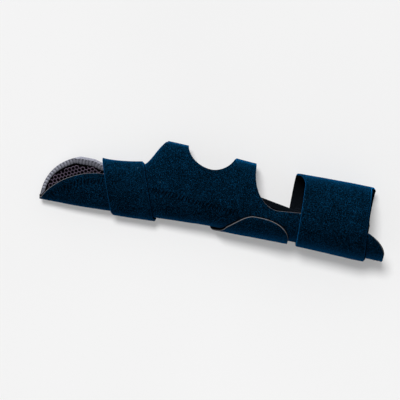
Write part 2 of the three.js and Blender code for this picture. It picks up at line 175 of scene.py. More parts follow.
@dataclass(frozen=True)
class SplintForm:
    """Form that every cut is wrapped round. It is no piece itself.

    Attributes:
        sections: Its sections from the tip to the elbow end, read smoothly between them.
        fold_reach: Distance from the fold to a section's middle.
        back_share: Share of a section's height that lies on the back of its middle.
        back_power: Squareness of a section's back.
        palm_power: Squareness of a section's palm side.
        back_face: Height of the form's back above the rest surface.
        origin: Along and across of the frame's origin.
        foam: Waves that every layer follows.
        halvings: Steps of a search for a turn.
        fineness: Turns that are measured for each one that is placed.
    """

    sections: tuple[Section, ...] = (
        Section(-3, 1.5, 40, 9.5),
        Section(20, 1.5, 46, 15),
        Section(44, 1.7, 45.6, 19),
        Section(56, 2, 42.8, 20.5),
        Section(93, 3.6, 47.2, 21.5),
        Section(97, 3.7, 50, 22),
        Section(114.6, 4, 74.6, 25.5),
        Section(136, 4.8, 73.8, 30),
        Section(161, 5.7, 73.5, 34),
        Section(185, 6, 69.8, 36.5),
        Section(206, 6, 68.4, 38.5),
        Section(250, 5.6, 63.6, 46),
        Section(330, 2.6, 63.6, 48),
        Section(348, 2.3, 63.6, 48),
    )
    fold_reach: float = 21
    back_share: float = 0.45
    back_power: float = 3.4
    palm_power: float = 2.4
    back_face: float = 9.7
    origin: Span = (172.0, 37.295)
    foam: Unevenness = Unevenness()
    halvings: int = 30
    fineness: int = 3

    def read(self, column: str, along: Array) -> Array:
        """Smooth reading of one column of the sections, with no overshoot between them.

        Args:
            column: Name of a field of Section.
            along: Places along the splint.

        Returns:
            The column's value at each place.
        """
        at = np.array([section.along for section in self.sections])
        value = np.array([getattr(section, column) for section in self.sections])
        slope = np.diff(value) / np.diff(at)
        product = slope[:-1] * slope[1:]
        both = np.where(product > 0, slope[:-1] + slope[1:], 1)
        tangent = np.concatenate([slope[:1], np.where(product > 0, 2 * product / both, 0), slope[-1:]])
        high = np.clip(np.searchsorted(at, along, side="right"), 1, len(at) - 1)
        low = high - 1
        span = at[high] - at[low]
        x = np.clip((along - at[low]) / span, 0, 1)
        leaving = span * tangent[low] * x * (1 - x) ** 2
        arriving = span * tangent[high] * x * x * (1 - x)
        return value[low] + (value[high] - value[low]) * x * x * (3 - 2 * x) + leaving - arriving

    def section(self, along: Array, turn: Array) -> tuple[Array, Array, Array, Array]:
        """Point of the form's section and its outward normal.

        Args:
            along: Places along the splint.
            turn: Degrees round the form.

        Returns:
            Across and up of each point, then across and up of its normal.
        """
        height = self.read("height", along)
        middle = self.read("fold", along) + self.fold_reach
        sine = np.sin(np.radians(turn))
        cosine = np.cos(np.radians(turn))
        reach = np.where(sine > 0, self.fold_reach, self.read("thumb", along) - middle)
        depth = height * np.where(cosine > 0, self.back_share, 1 - self.back_share)
        power = np.where(cosine > 0, self.back_power, self.palm_power)
        u = np.abs(sine)
        v = np.abs(cosine)
        size = (u**power + v**power) ** (-1 / power)
        normal_across = -np.sign(sine) * u ** (power - 1) / reach
        normal_up = -np.sign(cosine) * v ** (power - 1) / depth
        length = np.hypot(normal_across, normal_up)
        centre = self.back_face + self.back_share * height
        across = middle - reach * sine * size
        up = centre - depth * cosine * size
        return across, up, normal_across / length, normal_up / length

    def across(self, along: Array, turn: Array, lift: Array | float) -> Array:
        """Distance across of a point at some lift."""
        across, _, normal, _ = self.section(along, turn)
        return across + lift * normal

    def place(self, along: Array, turn: Array, lift: Array | float) -> Array:
        """Points in the frame, in metres.

        Args:
            along: Places along the splint.
            turn: Degrees round the form.
            lift: Distance out from the form's surface.

        Returns:
            One row of x, y and z for each place. No point lies below the rest surface.
        """
        across, up, normal_across, normal_up = self.section(along, turn)
        lift = lift + self.foam.at(along, turn)
        x = along - self.origin[0]
        y = across + lift * normal_across - self.origin[1]
        z = np.maximum(up + lift * normal_up, 0)
        return np.stack(np.broadcast_arrays(x, y, z), axis=-1) * MM

    def normals(self, along: Array, turn: Array) -> Array:
        """Outward normals of the form in the frame."""
        _, _, across, up = self.section(along, turn)
        return np.stack([np.zeros_like(across), across, up], axis=-1)

    def turn_across(self, along: Array, across: Array, lift: float, low: float, high: float) -> Array:
        """Turn at which a layer is at a given distance across.

        Args:
            along: Places along the splint.
            across: Distance across at each place.
            lift: Lift of the layer's face.
            low: Turn where the search starts.
            high: Turn where the search ends.

        Returns:
            One turn for each place, at a limit where the layer doesn't reach that far.
        """
        lows = np.full_like(along, low)
        highs = np.full_like(along, high)
        rising = self.across(along, highs, lift) > self.across(along, lows, lift)
        for _ in range(self.halvings):
            middle = (lows + highs) / 2
            short = (self.across(along, middle, lift) < across) == rising
            lows = np.where(short, middle, lows)
            highs = np.where(short, highs, middle)
        return (lows + highs) / 2

    def palm_turn(self, along: Array, across: Array, lift: float = SHEET) -> Array:
        """Turn on the palm side, from the fold to the thumb side."""
        return self.turn_across(along, across, lift, FOLD_TURN, THUMB_TURN)

    def back_turn(self, along: Array, across: Array, lift: float = SHEET) -> Array:
        """Turn on the back, from the thumb side to the fold."""
        return self.turn_across(along, across, lift, THUMB_TURN - FULL_TURN, FOLD_TURN)

    def turn_beyond(self, along: Array, edge: Array, distance: Array | float, lift: float) -> Array:
        """Turn that lies some way round from an edge of the back wall, towards the fold.

        Args:
            along: Places along the splint.
            edge: Turn of the edge at each place.
            distance: Straight distance from the edge.
            lift: Lift of the layer's face.

        Returns:
            One turn for each place, at the edge where the distance is not above 0.
        """
        start = self.place(along, edge, lift)
        lows = edge
        highs = np.full_like(edge, FOLD_TURN)
        for _ in range(self.halvings):
            middle = (lows + highs) / 2
            short = np.linalg.norm(self.place(along, middle, lift) - start, axis=-1) < distance * MM
            lows = np.where(short, middle, lows)
            highs = np.where(short, highs, middle)
        return lows

    def girth(self, along: Array, turns: Array) -> Array:
        """Length round the section from the first turn of each row.

        Args:
            along: One place along the splint for each row.
            turns: Rows of turns, or one row for every place.

        Returns:
            One row of lengths for each place.
        """
        across, up, _, _ = self.section(along[:, None], turns)
        steps = np.hypot(np.diff(across, axis=1), np.diff(up, axis=1))
        return np.concatenate([np.zeros((len(along), 1)), np.cumsum(steps, axis=1)], axis=1)

    def even_turns(self, along: Array, low: Array, high: Array, rows: int) -> Array:
        """Turns evenly spaced by length between two edges.

        Args:
            along: Places along the splint.
            low: Turn of the low edge at each place.
            high: Turn of the high edge at each place.
            rows: Number of turns from edge to edge.

        Returns:
            One row of turns for each place.
        """
        fine = low[:, None] + (high - low)[:, None] * np.linspace(0, 1, self.fineness * rows)
        length = self.girth(along, fine)
        share = length / np.maximum(length[:, -1:], NO_LENGTH)
        wanted = np.linspace(0, 1, rows)
        return np.array([np.interp(wanted, known, turns) for known, turns in zip(share, fine)])


@dataclass(frozen=True)
class TipEdge:
    """Leaf-shaped free edge of one wall at the tip."""

    start: float
    length: float
    height: float
    power: float

    def across(self, along: Array, inset: float = 0.0) -> Array:
        """Distance across of the edge, set in from the cut by an inset."""
        share = np.clip((along - self.start - inset) / (self.length - inset), 0, 1)
        return (self.height - inset) * (1 - (1 - share) ** 2) ** self.power


@dataclass(frozen=True)
class SideCut:
    """Cut that runs across the sheet from a top to a bottom."""

    start: float
    stop: float
    top: float
    bottom: float

    def straight(self, along: Array) -> Array:
        """Distance across of a straight cut."""
        return self.top + (self.bottom - self.top) * (along - self.start) / (self.stop - self.start)

    def hollow(self, along: Array) -> Array:
        """Distance across of a cut that drops steeply and levels out like a quarter ellipse."""
        share = np.clip((self.stop - along) / (self.stop - self.start), 0, 1)
        return self.top + (self.bottom - self.top) * np.sqrt(1 - share**2)


@dataclass(frozen=True)
class ThumbHole:
    """Lower edge of the thumb hole on the palm panel and on the panel at the back."""

    start: float = 136
    deepest: float = 163
    stop: float = 185
    rim: float = 79
    palm_depth: float = 20.6
    back_depth: float = 22.6
    power: float = 1.85

    def across(self, along: Array, depth: float) -> Array:
        """Distance across of the hole's edge.

        Args:
            along: Places along the splint.
            depth: Depth below the rim.

        Returns:
            One distance for each place.
        """
        end = np.where(along < self.deepest, self.start, self.stop)
        share = (along - self.deepest) / (end - self.deepest)
        return self.rim - depth * np.maximum(0, 1 - share**self.power) ** (1 / self.power)


@dataclass(frozen=True)
class Tongue:
    """Rounded end of the wrap on the palm wall. It rises up to the top and comes round after the crest."""

    start: float = 177
    top: float = 213
    crest: float = 218
    stop: float = 250
    height: float = 19.4
    power: float = 2.2

    def end_share(self, along: Array) -> Array:
        """Share of the tongue's reach that is left towards its round end."""
        share = np.clip((along - self.crest) / (self.stop - self.crest), 0, 1)
        return np.sqrt(1 - share**self.power)

    def across(self, along: Array) -> Array:
        """Distance across of the tongue's edge."""
        return self.height * smooth_rise(along, self.start, self.top) * self.end_share(along)


@dataclass(frozen=True)
class ShellCut:
    """Outline of the shell, as seen from the palm, and its edges as turns round the form."""

    form: SplintForm
    tip_palm: TipEdge = TipEdge(0, 60, 34.5, 0.75)
    tip_back: TipEdge = TipEdge(-2, 56, 51.5, 0.42)
    palm_rows: Rows = ((60, 34.5), (86, 36), (96.8, 54), (114.6, 80.5))
    back_rows: Rows = ((54, 51.5), (93, 50), (114, 47), (206, 42), (250, 34), (300, 30))
    forearm_rows: Rows = ((235, 29.7), (256, 31.6), (300, 29.5))
    back_curl: float = -62
    hole: ThumbHole = ThumbHole()
    notch: SideCut = SideCut(206, 235, 69.7, 29.7)
    wrap_left: SideCut = SideCut(114.6, 175, 79, -2)
    wrap_right: SideCut = SideCut(206, 250, 71, 8)
    crossing: Span = (170, 188)
    tongue: Tongue = Tongue()
    web_turn: float = 256
    web_start: float = 110
    elbow_start: float = 300
    elbow_stop: float = 346

    def end_share(self, along: Array, inset: float = 0.0) -> Array:
        """Share of a wall's width that is left at the rounded elbow end."""
        share = np.clip((along - self.elbow_start) / (self.elbow_stop - inset - self.elbow_start), 0, 1)
        return np.sqrt(1 - share**2)

    def back_across(self, along: Array, inset: float = 0.0) -> Array:
        """Free edge of the back wall."""
        wall = (read_rows(self.back_rows, along) - inset) * self.end_share(along, inset)
        return np.where(along < self.back_rows[0][0], self.tip_back.across(along, inset), wall)

    def palm_across(self, along: Array, inset: float = 0.0) -> Array:
        """Free edge of the palm wall: tip, palm panel, wrist notch and elbow end.

        Args:
            along: Places along the splint.
            inset: Distance in from the cut edge.

        Returns:
            One distance across for each place.
        """
        panel = read_rows(self.palm_rows, along) - inset
        forearm = (read_rows(self.forearm_rows, along) - inset) * self.end_share(along, inset)
        limits = (self.palm_rows[0][0], self.notch.start, self.notch.stop)
        edges = (self.tip_palm.across(along, inset), panel, self.notch.hollow(along) - inset)
        return np.select([along < limit for limit in limits], edges, forearm)

    def back_edge(self, along: Array, inset: Array | float = 0.0, lift: float = SHEET) -> Array:
        """Turn of the back wall's free edge, which curls up no further than the limit.

        Args:
            along: Places along the splint.
            inset: Distance in from the cut edge.
            lift: Lift of the layer's face.

        Returns:
            One turn for each place, at least the inset away from the edge round the section.
        """
        edge = np.maximum(self.back_curl, self.form.back_turn(along, self.back_across(along), lift))
        set_in = self.form.back_turn(along, self.back_across(along, inset), lift)
        return np.maximum(set_in, self.form.turn_beyond(along, edge, inset, lift))

    def palm_edge(self, along: Array, inset: float = 0.0, lift: float = SHEET) -> Array:
        """Turn of the palm wall's free edge."""
        return self.form.palm_turn(along, self.palm_across(along, inset), lift)

    def joined(self, along: Array) -> Array:
        """Where the palm panel and the wrap are one sheet over the thumb side.

        Args:
            along: Places along the splint.

        Returns:
            Whether they are one at each place.
        """
        web = (along >= self.wrap_left.start) & (along <= self.hole.start)
        wrist = (along >= self.hole.stop) & (along <= self.notch.start)
        return web | wrist

    def gutter_high(self, along: Array) -> Array:
        """High edge of the gutter: palm wall, thumb side, thumb hole or wrist notch.

        Args:
            along: Places along the splint.

        Returns:
            One turn for each place.
        """
        hole = self.form.palm_turn(along, self.hole.across(along, self.hole.palm_depth))
        in_hole = (along > self.hole.start) & (along < self.hole.stop)
        rise = smooth_rise(along, self.web_start, self.wrap_left.start)
        web = self.web_turn + (THUMB_TURN - self.web_turn) * rise
        edge = np.where(in_hole, hole, np.minimum(self.palm_edge(along), web))
        return np.where(self.joined(along), THUMB_TURN, edge)

    def wrap_turn(self, along: Array, across: Array) -> Array:
        """Turn of the wrap at the back, on the second layer."""
        return FULL_TURN + self.form.back_turn(along, across, LAYER + SHEET)

    def wrap_low(self, along: Array) -> Array:
        """Low edge of the wrap: thumb side, thumb hole or the curved cut that ends with the tongue.

        Args:
            along: Places along the splint.

        Returns:
            One turn for each place.
        """
        hole = self.wrap_turn(along, self.hole.across(along, self.hole.back_depth))
        wrist = self.wrap_turn(along, self.wrap_right.hollow(along) * self.tongue.end_share(along))
        edge = np.where(along < self.notch.start, hole, wrist)
        return np.where(self.joined(along), THUMB_TURN, edge)

    def wrap_high(self, along: Array) -> Array:
        """High edge of the wrap: the straight cut at the back, a slant over the fold, the tongue.

        Args:
            along: Places along the splint.

        Returns:
            One turn for each place.
        """
        behind = np.minimum(along, self.crossing[0])
        front = self.wrap_turn(behind, self.wrap_left.straight(behind))
        ahead = np.maximum(along, self.crossing[1])
        tongue = FULL_TURN + self.form.palm_turn(ahead, self.tongue.across(ahead), LAYER + SHEET)
        share = np.interp(along, self.crossing, (0, 1))
        return front + (tongue - front) * share


@dataclass(frozen=True)
class LiningSeam:
    """Wide zigzag row that holds the lining and puckers the palm wall.

    Attributes:
        rows: Along and across of the seam where no edge is near.
        tip_inset: Distance that it keeps from the edges.
        pitch: Distance from one pucker to the next.
        reach: Distance from the seam within which the puckers show.
        depth: Depth of a pucker.
        highest: Limit of a ridge, so that it touches nothing above it.
        shown: Stretches that no strap covers.
        drifts: Lengths over which the puckers grow and shrink.
    """

    cut: ShellCut
    rows: Rows = ((0, 28.6), (112, 28), (180, 21.5), (260, 20), (300, 20))
    tip_inset: float = 8
    pitch: float = 3.5
    reach: float = 4.6
    depth: float = 1.15
    highest: float = 0.3
    shown: Rows = ((11, 58), (105, 198))
    thread_lift: float = 0.05
    path_step: float = 0.25
    fading: int = 4
    ridge_level: float = 0.62
    least_share: float = 0.75
    drifting_share: float = 0.25
    drifts: Span = (7.3, 2.9)

    def across(self, along: Array) -> Array:
        """Distance across of the seam."""
        level = read_rows(self.rows, along) * self.cut.end_share(along, self.tip_inset)
        return np.minimum(level, self.cut.palm_across(along, self.tip_inset))

    def path(self) -> tuple[Array, Array, Array]:
        """Seam from the tip to the elbow end.

        Returns:
            Places along the splint, the seam's slope there and its length from the tip.
        """
        along = np.arange(self.tip_inset, self.cut.elbow_stop, self.path_step)
        across = self.across(along)
        slope = np.gradient(across, along)
        steps = np.hypot(np.diff(along), np.diff(across))
        return along, slope, np.concatenate([[0.0], np.cumsum(steps)])

    def pucker(self, along: Array, across: Array) -> Array:
        """Relief of the puckers, in millimetres out from the wall.

        Args:
            along: Places along the splint.
            across: Distances across.

        Returns:
            Height of the relief, which is never high enough to touch what lies over the wall.
        """
        places, slopes, lengths = self.path()
        slope = np.interp(along, places, slopes)
        offset = across - self.across(along)
        distance = offset / np.sqrt(1 + slope**2)
        length = np.interp(along + slope * offset / (1 + slope**2), places, lengths)
        window = np.exp(-((distance / self.reach) ** self.fading)) * (along > self.tip_inset)
        ridge = np.abs(np.sin(np.pi * length / self.pitch)) - self.ridge_level
        slow, quick = (np.sin(length / drift) for drift in self.drifts)
        share = self.least_share + self.drifting_share * slow * quick
        return np.minimum(self.depth * ridge * share, self.highest) * window


@dataclass(frozen=True)
class SheetFaces:
    """Faces of a sheet by point number, and how its points map to the grids that they come from."""

    faces: list[tuple[int, ...]]
    kept: Array

    @classmethod
    def from_grids(cls, *grids: Array) -> "SheetFaces":
        """Faces between neighbouring points of grids that may share points.

        Args:
            grids: Point numbers, a row for each place along and a column for each turn.

        Returns:
            Faces on renumbered points, with the old number of each point that is kept.
        """
        kept = np.unique(np.concatenate([grid.ravel() for grid in grids]))
        renumbered = np.zeros(kept[-1] + 1, dtype=int)
        renumbered[kept] = np.arange(len(kept))
        faces = []
        for grid in grids:
            ids = renumbered[grid]
            corners = np.stack([ids[:-1, :-1], ids[1:, :-1], ids[1:, 1:], ids[:-1, 1:]], axis=-1)
            for quad in corners.reshape(-1, 4).tolist():
                face = tuple(dict.fromkeys(quad))
                if len(face) > 2:
                    faces.append(face)
        return cls(faces, kept)

    def border(self) -> Array:
        """Directed edges that only one face uses.

        Returns:
            A row of two point numbers for each edge.
        """
        edges = {}
        for face in self.faces:
            for start, stop in zip(face, face[1:] + face[:1]):
                if edges.pop((stop, start), None) is None:
                    edges[(start, stop)] = True
        return np.array(list(edges))


def pair_of_ribbons(
    low_rows: int, high_rows: int, shared: Array, first: int, last: int
) -> tuple[Array, Array]:
    """Point numbers of two ribbons that run side by side and are joined at some places.

    Args:
        low_rows: Turns in the low ribbon at each place.
        high_rows: Turns in the high ribbon at each place.
        shared: For each place, whether the ribbons meet there.
        first: Place where the high ribbon starts.
        last: Place where the high ribbon ends.

    Returns:
        The two grids of point numbers, the high one from first to last.
    """
    places = len(shared)
    low = np.arange(places * low_rows).reshape(places, low_rows)
    high = np.arange(places * high_rows).reshape(places, high_rows) + low.size
    high[shared, 0] = low[shared, -1]
    return low, high[first : last + 1]


def on_ribbons(low: Array, high: Array, low_values: Array, high_values: Array) -> Array:
    """Values of two ribbons by point number.

    Args:
        low: Point numbers of the low ribbon.
        high: Point numbers of the high ribbon.
        low_values: Values on the low ribbon, which also count where the two are joined.
        high_values: Values on the high ribbon.

    Returns:
        One value for each point number.
    """
    values = np.zeros(high.max() + 1)
    values[high] = high_values
    values[low] = low_values
    return values


class Ply(IntEnum):
    """Parts of a sheet that have a finish of their own, in the order of the object's materials."""

    FACE = 0
    CORE = 1
    # Black ply at the foot of the rim, painted shade for the shadow line along cut edges
    BACKING_SHADE = 2
    BOUND = 3
    INSIDE = 4


@dataclass
class ClothSheet:
    """Closed sheet between an outer and an inner face, with a rounded cut rim that shows its plies.

    Attributes:
        spread: Millimetres by which the inner face stands past the outer one at each rim point.
        bound: Whether yarn binds the rim at each point.
        bulge: Millimetres by which the rim is rounded.
        shoulders: Shares of the rim's depth between which its plies lie.
    """

    name: str
    outer: Array
    inner: Array
    topology: SheetFaces
    spread: Array
    bound: Array
    bulge: float = 0.15
    shoulders: tuple[float, ...] = (0.0, 0.07, 0.3, 0.9, 1.0)
    rim_plies: tuple[Ply, ...] = (Ply.FACE, Ply.CORE, Ply.BACKING_SHADE, Ply.BACKING_SHADE)

    @property
    def middle(self) -> Array:
        """Points half way through the sheet."""
        return (self.outer + self.inner) / 2

    def area(self) -> float:
        """Area of one side of the sheet, in square metres.

        Returns:
            The area half way through the sheet.
        """
        faces = self.topology.faces
        triangles = [(face[0], *pair) for face in faces for pair in zip(face[1:], face[2:])]
        a, b, c = self.middle[np.array(triangles)].transpose(1, 0, 2)
        return float(np.linalg.norm(np.cross(b - a, c - a), axis=1).sum() / 2)

    def build(self, plies: dict[Ply, Material]) -> Thing:
        """Makes the sheet's object.

        Args:
            plies: Finish of each ply.

        Returns:
            The object, linked to the scene.
        """
        count = len(self.outer)
        border = self.topology.border()
        start, stop = border[:, 0], border[:, 1]
        normal = self.outer - self.inner
        normal /= np.linalg.norm(normal, axis=1, keepdims=True)
        # Way out of the sheet at each rim point, square to the rim
        outward = np.zeros_like(normal)
        side = np.cross(self.middle[stop] - self.middle[start], normal[start])
        side /= np.maximum(np.linalg.norm(side, axis=1, keepdims=True), NO_LENGTH)
        np.add.at(outward, start, side)
        np.add.at(outward, stop, side)
        rim = np.unique(border)
        outward[rim] /= np.maximum(np.linalg.norm(outward[rim], axis=1, keepdims=True), NO_LENGTH)
        inner = self.inner + outward * self.spread[:, None] * MM

        # Rings of points round the cut edge, from the outer face to the inner one
        rings = []
        for share in self.shoulders[1:-1]:
            bulge = outward[rim] * self.bulge * MM * math.sin(math.pi * share)
            rings.append(self.outer[rim] * (1 - share) + inner[rim] * share + bulge)
        place = np.zeros(count, dtype=int)
        place[rim] = np.arange(len(rim))
        levels = [np.arange(count)]
        levels += [2 * count + k * len(rim) + place for k in range(len(rings))]
        levels.append(count + np.arange(count))

        # Outer face, inner face turned round, then a strip of the rim for each ply
        faces = list(self.topology.faces)
        faces += [tuple(count + point for point in reversed(face)) for face in self.topology.faces]
        kinds = np.repeat([int(Ply.FACE), int(Ply.INSIDE)], len(self.topology.faces)).tolist()
        bound = self.bound[start] & self.bound[stop]
        for ply, upper, lower in zip(self.rim_plies, levels, levels[1:]):
            quads = np.stack([upper[stop], upper[start], lower[start], lower[stop]], axis=1)
            faces += [tuple(quad) for quad in quads.tolist()]
            kinds += np.where(bound, int(Ply.BOUND), int(ply)).tolist()

        mesh = bpy.data.meshes.new(self.name)
        mesh.from_pydata(np.vstack([self.outer, inner, *rings]).tolist(), [], faces)
        for ply in Ply:
            mesh.materials.append(plies[ply])
        mesh.polygons.foreach_set("material_index", kinds)
        mesh.shade_smooth()
        mesh.update()
        return link(bpy.data.objects.new(self.name, mesh))


def link(thing: Thing) -> Thing:
    """Puts an object into the scene."""
    bpy.context.scene.collection.objects.link(thing)
    return thing


def linear(colour: str) -> tuple[float, float, float, float]:
    """Linear colour of an sRGB hex value.

    Args:
        colour: A hash sign and six hex digits.

    Returns:
        Red, green, blue and full alpha.
    """
    channels = []
    for value in bytes.fromhex(colour[1:]):
        share = value / BYTE
        curved = ((share + SRGB_OFFSET) / (1 + SRGB_OFFSET)) ** SRGB_POWER
        channels.append(share / SRGB_SLOPE if share <= SRGB_KNEE else curved)
    red, green, blue = channels
    return red, green, blue, 1.0


def add_node(tree: Tree, kind: str, settings: dict[str, object], inputs: dict[str | int, object]) -> Node:
    """Adds a node.

    Args:
        tree: Shader or geometry tree.
        kind: The node's type.
        settings: Its properties by name.
        inputs: Its inputs by name or number, each a value or the socket that feeds it.

    Returns:
        The new node.
    """
    node = tree.nodes.new(kind)
    for name, value in settings.items():
        setattr(node, name, value)
    for name, value in inputs.items():
        if isinstance(value, Socket):
            tree.links.new(value, node.inputs[name])
        else:
            node.inputs[name].default_value = value
    return node


def new_material(name: str) -> tuple[Material, Tree, Socket]:
    """An empty material.

    Args:
        name: What the material is.

    Returns:
        The material, its tree and the object coordinates.
    """
    material = bpy.data.materials.new(name)
    material.use_nodes = True
    tree = material.node_tree
    tree.nodes.clear()
    return material, tree, add_node(tree, "ShaderNodeTexCoord", {}, {}).outputs["Object"]


def close_material(tree: Tree, inputs: dict[str | int, object]) -> None:
    """Ends a material with its shader.

    Args:
        tree: Shader tree.
        inputs: The shader's inputs by name, each a value or the socket that feeds it.
    """
    shader = add_node(tree, "ShaderNodeBsdfPrincipled", {}, inputs)
    add_node(tree, "ShaderNodeOutputMaterial", {}, {"Surface": shader.outputs["BSDF"]})


def colour_steps(tree: Tree, factor: Socket, stops: tuple[float, ...], colours: tuple[str, ...]) -> Socket:
    """Colours that follow a factor.

    Args:
        tree: Shader tree.
        factor: Socket from 0 to 1.
        stops: Factors in order.
        colours: sRGB hex colour at each stop.

    Returns:
        The colour socket.
    """
    node = add_node(tree, "ShaderNodeValToRGB", {}, {"Fac": factor})
    elements = node.color_ramp.elements
    for stop in stops[len(elements) :]:
        elements.new(stop)
    for element, stop, colour in zip(elements, stops, colours):
        element.position = stop
        element.color = linear(colour)
    return node.outputs["Color"]


@dataclass(frozen=True)
class LoopPile:
    """Navy brushed nylon loop on foam: dull deep blue, fine pale tuft tips and a bluer bloom at the rims.

    The tufts are drawn coarser than real ones, so that they still show as grain in the picture.
    """

    name: str = "navy_loop_pile"
    dark: str = "#000408"
    middle: str = "#010d16"
    bright: str = "#0a446c"
    lint: str = "#4f6473"
    bloom: str = "#0f6db0"
    stops: tuple[float, ...] = (0.38, 0.55, 0.74)
    tuft_mm: float = 0.55
    tuft_distortion: float = 0.3
    nap_mm: float = 16
    nap_roughness: float = 0.55
    nap_lean: float = 0.1
    loop_mm: float = 0.7
    loop_share: float = 0.5
    fine_detail: float = 1.0
    lint_mm: float = 15
    lint_share: float = 0.03
    lint_strength: float = 0.5
    relief_mm: float = 0.45
    relief_strength: float = 0.7
    sheen: float = 0.85
    sheen_roughness: float = 0.35

    def build(self) -> Material:
        """Makes the material.

        Returns:
            The material, on object coordinates.
        """
        material, tree, place = new_material(self.name)
        # Tufts give the grain, the nap leans them lighter or darker in soft patches, loops add to the relief
        noises = (
            (self.tuft_mm, {"Detail": self.fine_detail, "Distortion": self.tuft_distortion}),
            (self.nap_mm, {"Roughness": self.nap_roughness}),
            (self.loop_mm, {"Detail": self.fine_detail}),
        )
        tufts, nap, loops = (
            add_node(tree, "ShaderNodeTexNoise", {}, {"Vector": place, "Scale": 1 / (size * MM), **rest})
            for size, rest in noises
        )
        leaning = add_node(
            tree,
            "ShaderNodeMath",
            {"operation": "MULTIPLY_ADD"},
            {0: nap.outputs["Fac"], 1: self.nap_lean, 2: -self.nap_lean / 2},
        )
        shade = add_node(
            tree,
            "ShaderNodeMath",
            {"operation": "ADD"},
            {0: tufts.outputs["Fac"], 1: leaning.outputs[0]},
        )
        pile = colour_steps(tree, shade.outputs[0], self.stops, (self.dark, self.middle, self.bright))
        # A few specks of pale lint
        specks = add_node(
            tree,
            "ShaderNodeTexVoronoi",
            {},
            {"Vector": place, "Scale": 1 / (self.lint_mm * MM)},
        )
        near = add_node(
            tree,
            "ShaderNodeMath",
            {"operation": "LESS_THAN"},
            {0: specks.outputs["Distance"], 1: self.lint_share},
        )
        some = add_node(
            tree,
            "ShaderNodeMath",
            {"operation": "MULTIPLY"},
            {0: near.outputs[0], 1: self.lint_strength},
        )
        coloured = add_node(
            tree,
            "ShaderNodeMix",
            {"data_type": "RGBA"},
            {0: some.outputs[0], 6: pile, 7: linear(self.lint)},
        )
        height = add_node(
            tree,
            "ShaderNodeMath",
            {"operation": "MULTIPLY_ADD"},
            {0: loops.outputs["Fac"], 1: self.loop_share, 2: tufts.outputs["Fac"]},
        )
        relief = add_node(
            tree,
            "ShaderNodeBump",
            {},
            {"Strength": self.relief_strength, "Distance": self.relief_mm * MM, "Height": height.outputs[0]},
        )
        inputs = {
            "Base Color": coloured.outputs[2],
            "Normal": relief.outputs["Normal"],
            "Sheen Weight": self.sheen,
            "Sheen Roughness": self.sheen_roughness,
            "Sheen Tint": linear(self.bloom),
        }
        close_material(tree, {**inputs, **MATT})
        return material


@dataclass(frozen=True)
class Yarn:
    """Spun or filament yarn: soft matt thread with a fine twist that breaks up its colour."""

    name: str
    dark: str
    bright: str
    gloss: float = 0.0
    stops: Span = (0.3, 0.7)
    grain_mm: float = 0.6
    grain_roughness: float = 0.5
    relief_mm: float = 0.12
    relief_strength: float = 0.5
    roughness: float = 0.7

    def build(self) -> Material:
        """Makes the material.

        Returns:
            The material, on object coordinates.
        """
        material, tree, place = new_material(self.name)
        grain = add_node(
            tree,
            "ShaderNodeTexNoise",
            {},
            {"Vector": place, "Scale": 1 / (self.grain_mm * MM), "Roughness": self.grain_roughness},
        )
        factor = grain.outputs["Fac"]
        relief = add_node(
            tree,
            "ShaderNodeBump",
            {},
            {"Strength": self.relief_strength, "Distance": self.relief_mm * MM, "Height": factor},
        )
        inputs = {
            "Base Color": colour_steps(tree, factor, self.stops, (self.dark, self.bright)),
            "Normal": relief.outputs["Normal"],
            "Roughness": self.roughness,
            "Specular IOR Level": self.gloss,
        }
        close_material(tree, inputs)
        return material


@dataclass(frozen=True)
class CutFoam(Yarn):
    """Cut edge of foam laminate: a dull grey line with fine open cells in place of a twist."""

    gloss: float = 0.2
    stops: Span = (0.32, 0.66)
    grain_mm: float = 0.7
    grain_roughness: float = 0.6
    relief_mm: float = 0.2
    roughness: float = 0.9


@dataclass(frozen=True)
class PaperFloor:
    """Matt pale paper sweep under the splint: an almost even near-white."""

    name: str = "pale_paper"
    dark: str = "#f2f2f2"
    bright: str = "#f5f5f5"
    stops: Span = (0.3, 0.7)
    cloud_mm: float = 400

    def build(self) -> Material:
        """Makes the material.

        Returns:
            The material, on object coordinates.
        """
        material, tree, place = new_material(self.name)
        cloud = add_node(tree, "ShaderNodeTexNoise", {}, {"Vector": place, "Scale": 1 / (self.cloud_mm * MM)})
        colour = colour_steps(tree, cloud.outputs["Fac"], self.stops, (self.dark, self.bright))
        close_material(tree, {"Base Color": colour, **MATT})
        return material


class Repeat(Enum):
    """Attributes that carry the lie and length of a repeated thread from its point to the tree."""

    RUN = "run"
    FACING = "facing"
    REACH = "reach"


def new_tree(name: str, sizes: dict[str, str]) -> tuple[Tree, Node]:
    """An empty geometry tree.

    Args:
        name: What the tree makes.
        sizes: Its named inputs and the type of each.

    Returns:
        The tree and its input node.
    """
    tree = bpy.data.node_groups.new(name, "GeometryNodeTree")
    tree.interface.new_socket(name="Geometry", in_out="INPUT", socket_type="NodeSocketGeometry")
    for socket, kind in sizes.items():
        tree.interface.new_socket(name=socket, in_out="INPUT", socket_type=kind)
    tree.interface.new_socket(name="Geometry", in_out="OUTPUT", socket_type="NodeSocketGeometry")
    return tree, add_node(tree, "NodeGroupInput", {}, {})


def finish_tree(tree: Tree, made: Socket, material: Socket) -> None:
    """Ends a tree with real, smooth, dressed geometry.

    Args:
        tree: Geometry tree.
        made: What the tree makes.
        material: The tree's material input.
    """
    real = add_node(tree, "GeometryNodeRealizeInstances", {}, {"Geometry": made})
    smooth = add_node(tree, "GeometryNodeSetShadeSmooth", {}, {"Geometry": real.outputs["Geometry"]})
    dressed = add_node(
        tree,
        "GeometryNodeSetMaterial",
        {},
        {"Geometry": smooth.outputs["Geometry"], "Material": material},
    )
    add_node(tree, "NodeGroupOutput", {}, {"Geometry": dressed.outputs["Geometry"]})


